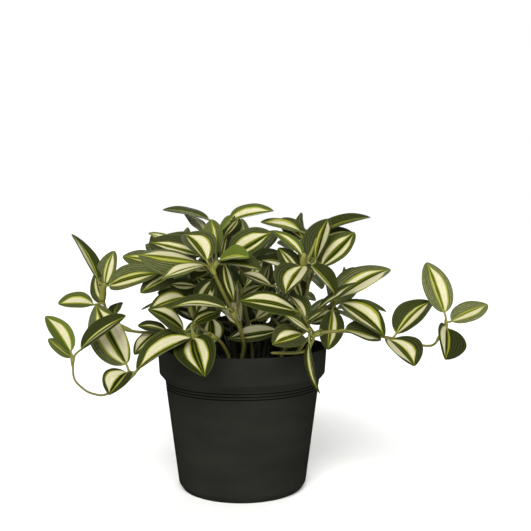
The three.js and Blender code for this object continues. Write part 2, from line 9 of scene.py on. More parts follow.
import bpy
import numpy as np
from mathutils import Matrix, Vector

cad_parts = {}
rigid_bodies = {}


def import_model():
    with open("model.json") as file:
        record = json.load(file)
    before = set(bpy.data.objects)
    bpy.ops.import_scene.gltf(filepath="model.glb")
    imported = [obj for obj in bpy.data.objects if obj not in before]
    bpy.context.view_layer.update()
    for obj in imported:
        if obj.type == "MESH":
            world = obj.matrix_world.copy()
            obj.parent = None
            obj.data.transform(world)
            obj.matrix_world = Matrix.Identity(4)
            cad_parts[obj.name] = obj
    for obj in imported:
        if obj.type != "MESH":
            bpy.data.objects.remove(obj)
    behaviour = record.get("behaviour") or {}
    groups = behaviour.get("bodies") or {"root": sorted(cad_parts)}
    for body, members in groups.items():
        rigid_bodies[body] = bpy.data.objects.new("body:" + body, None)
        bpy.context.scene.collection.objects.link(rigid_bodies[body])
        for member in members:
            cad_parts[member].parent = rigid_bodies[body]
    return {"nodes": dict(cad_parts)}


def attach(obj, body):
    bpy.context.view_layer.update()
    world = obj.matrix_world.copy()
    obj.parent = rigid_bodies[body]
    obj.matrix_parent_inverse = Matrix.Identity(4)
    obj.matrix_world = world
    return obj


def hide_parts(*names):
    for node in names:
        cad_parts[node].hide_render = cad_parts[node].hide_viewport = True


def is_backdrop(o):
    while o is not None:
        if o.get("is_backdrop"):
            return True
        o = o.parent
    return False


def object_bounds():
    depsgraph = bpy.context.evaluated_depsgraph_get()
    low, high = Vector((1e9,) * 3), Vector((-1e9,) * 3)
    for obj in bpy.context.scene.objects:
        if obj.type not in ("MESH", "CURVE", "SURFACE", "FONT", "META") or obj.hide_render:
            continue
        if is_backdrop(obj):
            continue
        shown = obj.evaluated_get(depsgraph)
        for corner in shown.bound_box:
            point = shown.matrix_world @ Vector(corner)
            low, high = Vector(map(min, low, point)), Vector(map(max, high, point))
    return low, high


for leftover in list(bpy.data.objects):
    bpy.data.objects.remove(leftover)
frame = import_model()
cad_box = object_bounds()

MM = 0.001

# Camera: the photo's view, 531 pixels square
CAMERA_PLACE = (16.5, -600.0, 191.0)
CAMERA_PITCH = 3.2
FOCAL_PIXELS = 846.6
IMAGE_PIXELS = 531
SENSOR = 36.0

# Light: a sun is its power and its tilt and turn in degrees, a box its place and its power
DOME = 0.2
DOME_FROM = 0.5
BACKDROP = 1.0
BACKDROP_TO = 0.26
SUNS = {"sun": (4.4, 54, -10), "back_sun": (1.6, 58, 165)}
SUN_SPREAD = 45.0
BOXES = {"left_box": ((-0.3, -1.35, 0.6), 2.5), "right_box": ((0.4, -1.3, 0.6), 2.5)}
BOX_SIZE = 0.6
BOX_TARGET = (0.0, 0.0, 0.1)
FLOOR_HALF = 6.0

# Pot
RIM_RADIUS = 60.0
RIM_TOP = 100.7
BAND_BOTTOM = 82.2
BAND_BOTTOM_RADIUS = 58.8
BODY_TOP = 77.4
BODY_TOP_RADIUS = 54.8
BODY_BOTTOM = 4.2
BODY_BOTTOM_RADIUS = 45.4
FOOT_RADIUS = 42.6
WALL = 1.8
FLOOR_THICKNESS = 2.4
GROOVE_HEIGHTS = (72.2, 74.2, 76.2)
GROOVE_WIDTH = 0.9
GROOVE_DEPTH = 0.5
GROOVE_FLAT = 0.4
GROOVE_SHADE = 1.2
POT_SIDES = 192
FOOT_CORNERS = (1.6, 3.0)
GROOVE_CORNERS = (0.3, 0.15, 0.15, 0.3)
BAND_CORNERS = (1.5, 1.6, 0.75, 0.75, 1)

# Soil
SOIL_TOP = 88.0
SOIL_GAP = 0.3
SOIL_RINGS = 40
SOIL_SIDES = 120
SOIL_RELIEF = 1.3
SOIL_EDGE_FADE = 4
SOIL_WAVES = (
    (0.11, 0.4, 0.5), (0.23, 2.1, 0.3), (0.41, 4.0, 0.2), (0.83, 1.0, 0.14), (1.4, 5.0, 0.1),
)
CRUMB_COUNT = 420
CRUMB_SEED = 4242
CRUMB_RINGS = 4
CRUMB_SIDES = 7
CRUMB_LIFT = 0.2

# Stems
STEM_SIDES = 14
STEM_STEP = 1.6
STEM_ROUND = 0.94
JOINT_SWELL = 1.5
JOINT_REACH = 3.0
STEM_FOOT_HIDDEN = 80.0
CURVE_STEPS = 24
ROOT_STEPS = 8
SHEATH = (
    (-2.6, 1.0), (-1.2, 1.42), (0.8, 1.62), (3.0, 1.72), (4.4, 1.84), (4.5, 1.66), (3.0, 1.40),
    (1.0, 1.0),
)
SHEATH_TOP = 4.5
SHEATH_SLANT = 1.1

# Leaves, as the frame has them
BLADE_THICKNESS = 0.8
STALK_WIDTH = 1.5
LOOK_BACK = 5.0
PLAIN_FOLD = 0.22
ARCH_RISE = 0.05
TIP_MATCH = 0.02

# Leaves, as fine meshes
BLADE_ROWS = 24
BLADE_COLUMNS = 16
BLADE_THIN = 0.4
BLADE_TIP = 0.1
CREASE = 0.12
RIB_COUNT = 44.0
STALK_SIDES = 8
STALK_STEPS = 9
STALK_PULL = 0.42
STALK_UNDER_ROWS = range(3, 12)

# How much one leaf may differ from the next
FOLD_RANGE = (-0.15, 0.35)
CURL_RANGE = (-0.10, 0.16)
WAVE_RANGE = (0.15, 0.45)
WAVE_COUNT_RANGE = (7, 12)
WAVE_START_RANGE = (0, 6)
DROOP_RANGE = (-0.05, 0.03)
TWIST_RANGE = (-9, 9)
SWAY_RANGE = (-0.03, 0.03)
LEAF_SEED = 1000
NAME_STEP = 31
INDEX_STEP = 97
BAND_RANGE = (0.93, 1.07)
BRIGHT_RANGE = (-0.06, 0.08)
GREY_RANGE = (-0.1, 0.1)

# Vectors

def unit(way):
    return way / np.linalg.norm(way)


def direction(heading, lift):
    level = math.cos(math.radians(lift))
    return np.array([
        level * math.cos(math.radians(heading)),
        level * math.sin(math.radians(heading)),
        math.sin(math.radians(lift)),
    ])


def square_to(way, axis):
    return unit(way - axis * np.dot(way, axis))


def bump(distance, reach):
    """1 at no distance, falling smoothly to 0 at reach."""
    share = np.clip(1 - abs(distance) / reach, 0, 1)
    return share * share * (3 - 2 * share)


# What the photo shows: pixels across and down from its upper left corner, and depth as y

PITCH = math.radians(CAMERA_PITCH)
VIEW = np.array([0.0, math.cos(PITCH), -math.sin(PITCH)])
VIEW_UP = np.array([0.0, math.sin(PITCH), math.cos(PITCH)])
VIEW_RIGHT = np.array([1.0, 0.0, 0.0])
IMAGE_MIDDLE = IMAGE_PIXELS / 2
WIDEST_LEAF = 26
FOLD_LIMITS = (0.08, 0.6)
SQUARE_ON = 0.05


def seen(across, down, depth):
    """The point at this depth that stands at this pixel, in whole millimetres."""
    right = (across - IMAGE_MIDDLE) / FOCAL_PIXELS
    up = (IMAGE_MIDDLE - down) / FOCAL_PIXELS
    way = VIEW + right * VIEW_RIGHT + up * VIEW_UP
    point = np.array(CAMERA_PLACE) + (depth - CAMERA_PLACE[1]) / way[1] * way
    return tuple(int(value) for value in np.round(point))


def seen_leaf(base, tip, halves, *look, width=None, fold=None, turn=None):
    """A leaf's row, from its base and tip and how many pixels broad its halves look.

    Together with the real width or the fold, one of which is given, the halves tell how far
    the blade is rolled from the camera. Turn is 1 or -1 where they leave its side open.
    """
    start, end = seen(*base), seen(*tip)
    along = unit(np.subtract(end, start))
    middle = np.add(start, end) / 2
    toward = square_to(unit(CAMERA_PLACE - middle), along)
    side = np.cross(toward, along)
    scale = np.dot(middle - CAMERA_PLACE, VIEW) / FOCAL_PIXELS
    broad = sum(halves) * scale
    lean = (halves[0] - halves[1]) / sum(halves)
    if width is None:
        roll = math.atan(lean / fold)
        width = broad / math.cos(roll)
    else:
        roll = math.acos(min(broad / width, 1)) * (turn or (1 if lean >= 0 else -1))
        if fold is None:
            fold = lean / math.tan(roll) if abs(roll) > SQUARE_ON else PLAIN_FOLD
            fold = min(max(fold, FOLD_LIMITS[0]), FOLD_LIMITS[1])
    face = math.cos(roll) * toward + math.sin(roll) * side
    heading = math.degrees(math.atan2(face[1], face[0]))
    lift = math.degrees(math.asin(face[2]))
    width = min(width, WIDEST_LEAF)
    return (*start, *end, round(width), round(heading), round(lift), round(fold, 2), *look)


# Layout of the stems and leaves. A point is x, y and z, or is seen in the
# photo: seen(pixels across, pixels down, y). A leaf of seen_leaf has its base and its tip as
# such places, then how many pixels broad its left and right halves look.
# A stem is its thickness at the foot and at the tip, which of its points are joints, how lime
# it is, and the points it passes. A leaf's row is the base and the tip of its blade, its
# width, the heading and lift of the way its upper face looks, how far its edges rise over the
# midrib as a share of the half width, its tone, and where the cream band begins and ends on
# its left half and on its right half, as shares of the half width, seen with the tip up.
# Heading 0 looks along +X and 90 along +Y.

STEMS = {
    "stem_front_tall": [
        ((3.2, 2.2), (3, 5), 0, [(0, -30, 74), (0, -30, 92), seen(243.5, 343, -37), seen(235, 316, -46),
            seen(225, 295, -54), seen(213, 272, -58)]),
        ((1.9, 1.3), (), 0, [seen(235, 316, -45.5), seen(238.4, 305, -43), seen(239, 290, -38)]),
    ],
    "stem_front_left": [
        ((2.8, 2), (3, 4), 0, [(-7, -38, 74), (-7, -38, 92), (-10, -42, 104), (-17, -48, 113),
            (-29, -57, 115)]),
        ((2, 1.6), (2,), 0, [(-17, -48, 113), (-27, -48, 120), (-32, -46, 129), (-34, -43, 138)]),
    ],
    "stem_left_trailing": [
        ((2.6, 1.4), (5, 10), 0.45, [(-23, -25, 74), (-23, -25, 91), (-36, -36, 107), (-50, -44, 108),
            (-62, -46, 98), (-71, -46, 88), seen(107, 393.5, -45), seen(93, 393.5, -45),
            seen(82, 388, -45), seen(75, 378, -45), seen(73, 364, -45)]),
    ],
    "stem_left_high": [
        ((2.8, 1.8), (4, 6), 0, [(-15, -13, 74), (-15, -13, 91), (-34, -22, 107), (-55, -30, 113),
            (-76, -33, 116), (-90, -31, 128), (-94, -30, 142)]),
        ((5.2, 3.4), (), 0.9, [(-94, -30, 135), (-93, -31, 142), (-91, -33, 148)]),
    ],
    "stem_left_middle": [
        ((2.8, 1.8), (2, 4), 0, [(-12, 3, 74), (-12, 3, 92), (-28, -10, 125), (-40, -22, 145),
            (-47, -30, 156)]),
    ],
    "stem_top_left": [
        ((2.8, 2), (2, 4), 0, [(-5, -8, 74), (-5, -8, 92), (-9, -14, 130), (-13, -19, 158),
            (-16, -22, 178)]),
    ],
    "stem_centre_low": [
        ((2.8, 1.8), (2, 4), 0, [(8, -24, 74), (8, -24, 92), (6, -25, 112), (3, -27, 130), (0, -31, 141)]),
    ],
    "stem_centre_right": [
        ((2.6, 1.8), (2, 4), 0, [(15, -12, 74), (15, -12, 92), (19, -17, 114), (24, -24, 134),
            (26, -28, 146)]),
    ],
    "stem_centre_inner": [
        ((2.6, 2), (2,), 0, [(12, 5, 74), (12, 5, 92), (12, 7, 105)]),
    ],
    "stem_right_front": [
        ((3, 1.6), (3, 5, 8), 0.45, [(34, -36, 74), (34, -36, 91), (40, -43, 106), (49, -49, 115),
            (67, -48, 117), (84, -43, 114), (101, -39, 111), (126, -33, 105), (134, -30, 110),
            (139, -28, 121)]),
        ((2.2, 1.8), (2,), 0, [(49, -49, 115), (44, -53, 122), (40, -52, 129)]),
        ((2.2, 2), (), 0.6, [(49, -49, 115), (44, -49, 105), (34, -50, 103), (20, -51, 103)]),
    ],
    "stem_right_middle": [
        ((2.8, 1.8), (3, 4), 0, [(27, -13, 74), (27, -13, 92), (42, -24, 114), (54, -32, 128),
            (64, -35, 136)]),
    ],
    "stem_right_tall": [
        ((2.8, 2.4), (2, 4), 0, [(26, -30, 74), (26, -30, 92), (38, -33, 124), (45, -34, 145),
            (42, -37, 161)]),
        ((2, 1.6), (2,), 0, [(45, -34, 145), (50, -27, 160), (47, -18, 176)]),
        ((2.8, 1.4), (), 1, [(42, -37, 161), (46, -42, 167), (50, -44, 178)]),
        ((5.2, 3.2), (), 0.9, [(43, -38, 157), (41, -42, 162), (42, -45, 168)]),
    ],
}
LEAVES = {
    "stem_front_tall": [
        seen_leaf((206, 261, -62), (184, 233, -50), (10, 17.5), "deep", 0.18, 0.4, 0.14, 0.64, width=23),
        seen_leaf((216, 254, -46), (212.5, 219.5, -38), (11, 10), "light", 0.02, 0, 0.02, 0.32, width=16,
            fold=0.22),
        seen_leaf((197, 261, -56), (138.5, 254, -66), (18, 10), "grey", 0.08, 0.24, 0.1, 0.66, fold=-0.35),
        seen_leaf((219, 260, -58), (249, 257, -70), (10, 3), "bright", 0.06, 0.16, 0.05, 0.34, width=17),
        seen_leaf((219, 263, -57), (262, 271, -66), (12, 3.5), "dark", 0.04, 0, 0.04, 0.75, width=18),
        seen_leaf((203, 265, -60), (162, 278, -77), (5.5, 5), "pale", 0.15, 0.6, 0.06, 0.86, width=12,
            fold=0.12, turn=-1),
        seen_leaf((213, 281, -43), (197, 315, -31), (11, 13), "dark", 0.22, 0.7, 0.2, 0.52, width=18),
        (-17, -45, 153, -9, -40, 136, 12, -105, 0, 0.22, "dark", 0.05, 0, 0.05, 0),
        seen_leaf((224, 263, -52), (236, 303, -50), (7, 12), "dark", 0.22, 0.85, 0.12, 0.3, width=17),
        seen_leaf((237, 325, -40), (221, 307, -48), (4, 4), "cream", 0, 0.9, 0, 0.9, width=10, fold=0.2,
            turn=-1),
        seen_leaf((227, 309, -52), (171, 305, -70), (3, 9.5), "dark", 0.05, 0.7, 0.1, 0.38, width=13),
        seen_leaf((203, 256, -44), (149, 243, -38), (8, 15), "dark", 0.1, 0.42, 0.12, 0.4, width=21),
        seen_leaf((241, 322, -34), (239, 280, -29), (6, 6), "pale", 0.06, 0.9, 0.06, 0.9, width=12,
            fold=0.15),
    ],
    "stem_front_left": [
        (-30, -61, 114, -20, -95, 96, 26, -90, 30, 0.22, "front", 0.2, 0.58, 0.2, 0.55),
        seen_leaf((191, 338, -61), (138, 372, -78), (5, 19), "front", 0.3, 0.85, 0.12, 0.62, width=26,
            fold=0.5),
        seen_leaf((184.5, 298, -45), (150, 310, -45), (5, 13), "limed", 0.1, 0.3, 0.12, 0.8, width=18),
        seen_leaf((184, 330, -52), (149, 309, -69), (8, 10), "deep", 0.1, 0, 0.34, 0.97, width=17),
        seen_leaf((194, 323, -54), (221, 312, -44), (6, 7), "limed", 0.25, 0.62, 0.06, 0, width=12,
            fold=0.15, turn=1),
        seen_leaf((210, 318, -43), (209, 350, -38), (13, 13), "dark", 0.34, 0.8, 0.24, 0.66, width=20,
            fold=0.2),
    ],
    "stem_left_trailing": [
        seen_leaf((126, 364, -48), (95.5, 304, -42), (21, 14.5), "grey", 0.1, 0.52, 0.24, 0.96, width=26,
            fold=0.25),
        seen_leaf((81, 349, -55), (127, 316.5, -68), (13, 3), "dark", 0.04, 0.2, 0.3, 0.55, width=18),
        seen_leaf((70, 352, -46), (46.5, 316.5, -38), (8, 11.5), "bright", 0.02, 0, 0.03, 0.66, width=15),
        seen_leaf((128, 372, -50), (110, 396, -66), (8, 16), "dark", 0.05, 0.18, 0.22, 0.8, width=20),
        (-112, -44, 99, -128, -41, 111, 9, -140, 50, 0.22, "light", 0.1, 0.3, 0.1, 0),
    ],
    "stem_left_high": [
        seen_leaf((98, 281, -32), (72, 235, -22), (4.5, 8.5), "limed", 0.12, 0.85, 0.05, 0.2, width=14),
        seen_leaf((105, 287, -30), (114, 250.5, -22), (9.5, 9), "grey", 0.08, 0.28, 0.12, 0.66, width=14,
            fold=0.2),
        seen_leaf((104, 303, -24), (96, 272, -12), (8, 8), "deep", 0.1, 0.4, 0.1, 0.3, width=14, fold=0.2),
        seen_leaf((110, 285, -34), (158, 273, -46), (12, 11.5), "grey", 0.14, 0.32, 0.18, 0.56, width=19,
            fold=0.2, turn=1),
        seen_leaf((93, 305, -34), (57, 304, -42), (4, 12), "light", 0.05, 0, 0.04, 0.62, width=16),
        (-50, -34, 115, -68, -43, 120, 11, -90, 50, 0.22, "dark", 0.1, 0, 0.1, 0.4),
        seen_leaf((157, 332, -28), (133, 354, -36), (6, 8), "deep", 0.15, 0.5, 0.15, 0.8, width=13, fold=0.2),
        seen_leaf((114, 317, -24), (119, 303, -10), (6, 6), "dark", 0.1, 0, 0.1, 0, width=12, fold=0.2),
    ],
    "stem_left_middle": [
        (-49, -33, 157, -80, -30, 167, 16, -90, 40, 0.22, "grey", 0.1, 0.3, 0.1, 0.4),
        (-46, -27, 158, -62, -16, 180, 16, -90, 20, 0.22, "dark", 0.1, 0.3, 0.1, 0.4),
        (-44, -25, 157, -38, -6, 180, 15, -80, 20, 0.22, "deep", 0.15, 0.5, 0.15, 0.5),
        (-46, -34, 153, -64, -52, 146, 15, -90, 35, 0.22, "dark", 0.05, 0.2, 0.1, 0.4),
        (-33, -13, 128, -58, -20, 140, 16, -100, 40, 0.22, "dark", 0.15, 0.5, 0.15, 0.5),
        (-24, -14, 128, -22, -34, 144, 14, -90, 40, 0.22, "deep", 0.12, 0.7, 0.12, 0.7),
        (-30, -6, 130, -44, 16, 146, 17, -90, 50, 0.22, "deep", 0.15, 0.5, 0.15, 0.5),
        seen_leaf((172, 246, -32), (149, 233, -25), (4, 4), "bright", 0.1, 0.5, 0.1, 0.7, width=9, fold=0.2,
            turn=-1),
        seen_leaf((208, 270, -22), (182, 264, -20), (8, 8), "dark", 0.1, 0.4, 0.1, 0.4, width=15),
        seen_leaf((196, 286, -24), (170, 281, -22), (8, 8), "dark", 0.1, 0.4, 0.1, 0.4, width=14),
    ],
    "stem_top_left": [
        (-22, -23, 190, -53, -27, 197, 16, -90, 70, 0.22, "dark", 0.08, 0, 0.08, 0),
        seen_leaf((207, 236, -22), (184.5, 212.5, -12), (4, 6), "grey", 0.1, 0, 0.05, 0.8, width=12),
        seen_leaf((229, 221.5, -26), (274, 210.5, -32), (10.5, 3), "light", 0.14, 0.72, 0.3, 0.9, width=14),
        seen_leaf((222, 230, -29), (235, 214, -25), (4.5, 4), "light", 0.05, 0, 0.3, 0.6, width=8, fold=0.3),
        (-12, -19, 178, -2, -5, 191, 12, -90, 20, 0.22, "dark", 0.1, 0.3, 0.1, 0.3),
        seen_leaf((230, 256, -32), (271, 231.5, -34), (12.5, 13), "deep", 0.08, 0.58, 0.28, 0.6, width=20,
            fold=0.25, turn=1),
        (-22, -26, 172, -58, -30, 171, 16, -90, 35, 0.22, "dark", 0.1, 0.4, 0.1, 0.3),
        (-4, -16, 134, 16, -28, 146, 15, -90, 30, 0.22, "dark", 0.12, 0.5, 0.12, 0.4),
        (-12, -12, 134, -34, 0, 150, 15, -120, 40, 0.22, "dark", 0.12, 0.6, 0.12, 0.6),
        seen_leaf((214, 270, -20), (214, 245, -12), (8, 8), "dark", 0.1, 0.4, 0.1, 0.4, width=15),
        seen_leaf((222, 258, -22), (228, 232, -12), (7, 7), "dark", 0.1, 0.3, 0.1, 0.3, width=13),
    ],
    "stem_centre_low": [
        (3, -16, 118, -4, -5, 148, 16, -90, 20, 0.22, "dark", 0.1, 0.5, 0.1, 0.5),
        (3, -28, 145, 17, -22, 166, 14, -90, 20, 0.22, "dark", 0.06, 0.3, 0.06, 0.5),
        (10, -24, 122, 28, -25, 131, 12, -90, 40, 0.22, "pale", 0.1, 0.8, 0.1, 0.5),
    ],
    "stem_centre_right": [
        seen_leaf((271, 286, -35), (240, 273.5, -43), (4, 5), "deep", 0.3, 0.62, 0.16, 0.97, width=11,
            fold=0.12, turn=-1),
        seen_leaf((287, 264, -26), (261, 260, -30), (4.5, 9), "dark", 0.1, 0.9, 0.1, 0, width=15),
        seen_leaf((286, 280, -24), (291, 250, -14), (12, 8), "pale", 0.2, 0.62, 0.2, 0.9, width=16),
        (24, -29, 115, -9, -31, 110, 12, -91, 22, 0.1, "dark", 0.3, 0.48, 0.14, 0.97),
        (22, -14, 117, 40, -6, 128, 15, -90, 40, 0.22, "dark", 0.12, 0.5, 0.12, 0.5),
        (15, -14, 119, 4, 6, 134, 15, -90, 30, 0.22, "dark", 0.12, 0.5, 0.12, 0.5),
        seen_leaf((264, 292, -12), (271, 262, -6), (8, 8), "dark", 0.1, 0.4, 0.1, 0.4, width=15),
    ],
    "stem_centre_inner": [
        (8, 5, 107, -22, 14, 116, 17, -90, 30, 0.22, "dark", 0.12, 0.5, 0.12, 0.5),
        (17, 6, 107, 48, 4, 115, 17, -90, 30, 0.22, "dark", 0.12, 0.5, 0.12, 0.5),
        (12, 11, 110, 6, 24, 140, 16, -90, 20, 0.22, "dark", 0.12, 0.4, 0.12, 0.4),
        (16, 4, 103, 44, -6, 99, 14, -90, 50, 0.22, "dark", 0.12, 0.4, 0.12, 0.4),
    ],
    "stem_right_front": [
        seen_leaf((302, 334, -56), (273, 343.5, -70), (13, 12.5), "dark", 0.12, 0.26, 0.14, 0.54, width=21,
            fold=0.12, turn=-1),
        seen_leaf((309, 333, -54), (285.5, 312, -64), (4, 3.5), "deep", 0, 0.6, 0.1, 0.4, width=12, fold=0.1,
            turn=-1),
        (45, -56, 110, 51, -59, 78, 13, -155, 0, 0.3, "limed", 0.12, 0.45, 0.1, 0.5),
        seen_leaf((345, 331, -52), (381, 340, -50), (12, 4), "dark", 0.05, 0, 0.02, 0.8, width=18),
        seen_leaf((305, 319, -50), (287.5, 293.5, -42), (3, 11.5), "dark", 0.1, 0.5, 0.1, 0.52, width=16),
        seen_leaf((308, 320, -56), (323, 311.5, -63), (5, 3.5), "dark", 0.06, 0, 0.06, 0.4, width=10,
            fold=0.2, turn=1),
        seen_leaf((296, 311, -53), (239, 300, -68), (9, 11.5), "front", 0.2, 0.44, 0.18, 0.76, width=19,
            fold=0.15, turn=-1),
        seen_leaf((397, 333, -38), (431, 300, -22), (14, 13), "dark", 0.08, 0.24, 0.12, 0.52, width=21,
            fold=0.2, turn=1),
        seen_leaf((389, 340, -41), (415, 366, -62), (17.5, 7.5), "dark", 0.14, 0.55, 0.2, 0.95, width=26),
        seen_leaf((444, 313, -28), (427, 262, -16), (12.5, 15.5), "silver", 0.1, 0.26, 0.1, 0.72, width=21,
            fold=0.22),
        seen_leaf((452, 321, -27), (488.5, 305.5, -18), (12, 9), "silver", 0.06, 0.12, 0.08, 0.58, width=17),
        seen_leaf((447, 328, -31), (445, 359, -52), (17, 11), "dark", 0.04, 0.13, 0.22, 0.8, width=24),
    ],
    "stem_right_middle": [
        seen_leaf((337, 299, -36), (391, 268.5, -22), (18, 7.5), "grey", 0.1, 0.46, 0.24, 0.98, width=25),
        seen_leaf((320, 308, -45), (357, 284, -56), (6, 3), "dark", 0.05, 0.14, 0.1, 0.8, width=14),
        seen_leaf((341, 304, -37), (383, 339, -52), (17.5, 10.5), "limed", 0.2, 0.8, 0.26, 0.64, width=28),
        seen_leaf((332, 310, -38), (327, 350, -36), (16, 8), "dark", 0.08, 0.42, 0.1, 0.2, width=18,
            fold=0.2, turn=1),
        (66, -31, 138, 78, -4, 148, 16, -90, 40, 0.22, "dark", 0.12, 0.5, 0.12, 0.5),
        (47, -23, 119, 68, -12, 127, 15, -90, 40, 0.22, "dark", 0.12, 0.5, 0.12, 0.5),
    ],
    "stem_right_tall": [
        seen_leaf((316, 260, -36), (327.5, 218, -24), (16, 8.5), "dark", 0.1, 0.2, 0.26, 0.95, width=22),
        seen_leaf((321, 266, -35), (355.5, 233, -26), (12, 13), "deep", 0.12, 0.56, 0.34, 0.68, width=21,
            fold=0.2, turn=1),
        seen_leaf((302, 267, -42), (285, 294, -64), (11, 19), "dark", 0.14, 0.8, 0.1, 0.48, width=25),
        seen_leaf((310, 265, -42), (336, 295, -56), (12, 4), "dark", 0.08, 0, 0.1, 0.85, width=18),
        seen_leaf((303, 256, -39), (273, 231.5, -32), (3, 8), "light", 0.1, 0.2, 0.08, 0.52, width=12),
        (41, -31, 137, 34, -22, 158, 14, -100, 10, 0.22, "dark", 0.12, 0.4, 0.12, 0.4),
        seen_leaf((300, 231, -20), (260, 222.5, -28), (3.6, 7.5), "lime", 0.06, 0, 0.14, 0.84, width=13),
        seen_leaf((303, 237, -14), (300.7, 212.8, -2), (5, 5), "dark", 0.1, 0, 0.1, 0, width=12, fold=0.2),
        (43, -17, 176, 28, -6, 187, 14, -90, 25, 0.22, "dark", 0.1, 0.3, 0.1, 0.3),
        (52, -17, 180, 90, -8, 192, 17, -90, 66, 0.22, "dark", 0.1, 0, 0.1, 0),
        (53, -16, 175, 78, -4, 182, 14, -90, 40, 0.22, "dark", 0.1, 0.3, 0.1, 0.3),
        (40, -30, 150, 24, -20, 166, 15, -90, 30, 0.22, "dark", 0.1, 0.4, 0.1, 0.4),
    ],
}

# Stems at the back and inside the bush: heading and distance of the tip from the pot's
# axis, height of the tip, leaves at the middle joint and at the tip, and the start of the
# row of random numbers.
HIDDEN_SHOOTS = {
    "stem_back_a": (25, 72, 124, (2, 5), 11),
    "stem_back_b": (50, 68, 150, (2, 5), 23),
    "stem_back_c": (72, 98, 126, (2, 5), 37),
    "stem_back_d": (92, 56, 154, (2, 5), 41),
    "stem_back_e": (110, 104, 112, (2, 5), 59),
    "stem_back_f": (132, 60, 148, (2, 5), 70),
    "stem_back_g": (150, 44, 130, (2, 5), 85),
    "stem_inner_high": (80, 14, 150, (2, 5), 83),
}
STEM_FOOT = 74.0
OVER_RIM = 113.0
GOLDEN_TURN = 137.5
FIRST_SPREAD = 34.0
SPREAD_RANGE = 44.0
WHORL_STALK = 5.0
WHORL_LENGTH = 33.0
WHORL_FACE_LIFT = 50.0
WHORL_SPREAD_CHANCE = 6
WHORL_LENGTH_CHANCE = 3
FIRST_LEAF_SHORTER = 4
WIDTH_SHARES = (0.48, 0.54)
HIDDEN_THICKNESS = (2.8, 2.0)
HIDDEN_FOOT_REACH = 30.0
FOOT_REACH_SHARE = 0.8
MIDDLE_JOINT = (0.35, 0.6)
LATE_JOINT = (0.75, 0.88)
TIP_UPTURN = 0.3
HIDDEN_LOOKS = (
    ("deep", 0.15, 0.50, 0.15, 0.50),
    ("front", 0.14, 0.62, 0.14, 0.56),
    ("dark", 0.12, 0.34, 0.12, 0.50),
    ("deep", 0.15, 0.50, 0.18, 0.40),
    ("dark", 0.14, 0.42, 0.12, 0.36),
)

# A leaf's tone: green from deep to bright, how much grey painted sheen lies on it, and how
# broad the lime edge of the cream bands is, as a share of the half width.
TONES = {
    "deep": (0.18, 0.20, 0.08),
    "front": (0.12, 0.05, 0.08),
    "dark": (0.06, 0.14, 0.07),
    "limed": (0.16, 0.08, 0.15),
    "grey": (0.20, 0.50, 0.10),
    "silver": (0.30, 0.85, 0.10),
    "bright": (0.95, 0.06, 0.08),
    "light": (0.54, 0.24, 0.12),
    "lime": (0.50, 0.15, 0.26),
    "pale": (0.50, 0.60, 0.10),
    "cream": (0.60, 0.60, 0.08),
}


# The layout's rule for the hidden stems

ROW_FACTOR = 16807
ROW_LENGTH = 2147483647


def random_row(seed):
    """A row of random numbers, the same one each time for the same seed."""
    state = seed

    def draw(low, high):
        nonlocal state
        state = state * ROW_FACTOR % ROW_LENGTH
        return low + (high - low) * state / ROW_LENGTH

    return draw


def whorl(centre, axis, count, draw):
    upward = np.array([0.0, 0.0, 1.0])
    across = square_to(upward + 0.01 * axis, axis)
    other = np.cross(axis, across)
    phase = draw(0, 360)
    rows = []
    for index in range(count):
        chance = draw(-WHORL_SPREAD_CHANCE, WHORL_SPREAD_CHANCE)
        spread = math.radians(FIRST_SPREAD + SPREAD_RANGE * index / count + chance)
        turn = math.radians(phase + GOLDEN_TURN * index)
        length = WHORL_LENGTH + draw(-WHORL_LENGTH_CHANCE, WHORL_LENGTH_CHANCE)
        length += FIRST_LEAF_SHORTER if index > 0 else -FIRST_LEAF_SHORTER
        along = (axis * math.cos(spread) + across * math.sin(spread) * math.cos(turn)
                 + other * math.sin(spread) * math.sin(turn))
        base = centre + along * WHORL_STALK
        tip = base + along * length
        width = length * draw(*WIDTH_SHARES)
        heading = math.degrees(math.atan2(axis[1], axis[0]))
        look = HIDDEN_LOOKS[index % len(HIDDEN_LOOKS)]
        rows.append((*base, *tip, width, heading, WHORL_FACE_LIFT, PLAIN_FOLD, *look))
    return rows


def hidden_shoot(heading, reach, height, leaves, seed):
    draw = random_row(seed)
    out = direction(heading, 0)
    foot_reach = min(HIDDEN_FOOT_REACH, reach * FOOT_REACH_SHARE)
    span = reach - foot_reach
    rise = height - SOIL_TOP
    lowest = OVER_RIM if reach > RIM_RADIUS else SOIL_TOP
    profile = [
        (foot_reach, STEM_FOOT),
        (foot_reach, SOIL_TOP + 4),
        (foot_reach + span * MIDDLE_JOINT[0], max(SOIL_TOP + rise * MIDDLE_JOINT[1], lowest)),
        (foot_reach + span * LATE_JOINT[0], max(SOIL_TOP + rise * LATE_JOINT[1], lowest + 4)),
        (reach, height),
    ]
    points = [np.array([out[0] * distance, out[1] * distance, z]) for distance, z in profile]
    middle_way = unit(points[2] - points[1])
    tip_way = unit(points[4] - points[3])
    tip_way[2] += TIP_UPTURN
    rows = whorl(points[4], unit(tip_way), leaves[1], draw)
    rows += whorl(points[2], middle_way, leaves[0], draw)
    return [(HIDDEN_THICKNESS, (2, 4), 0, points)], rows


# Where the frame has each leaf: a leaf that would cross another was bent by one of these
# turns, lifts and swings, and a leaf with no clear place was left out.

SHIFTS = [
    (turn, lift, swing)
    for turn in (0, 6, -6, 12, -12)
    for lift in (0, 1.5, -1.5, 3, -3)
    for swing in (0, 5, -5, 10, -10, 15, -15, 22, -22)
]


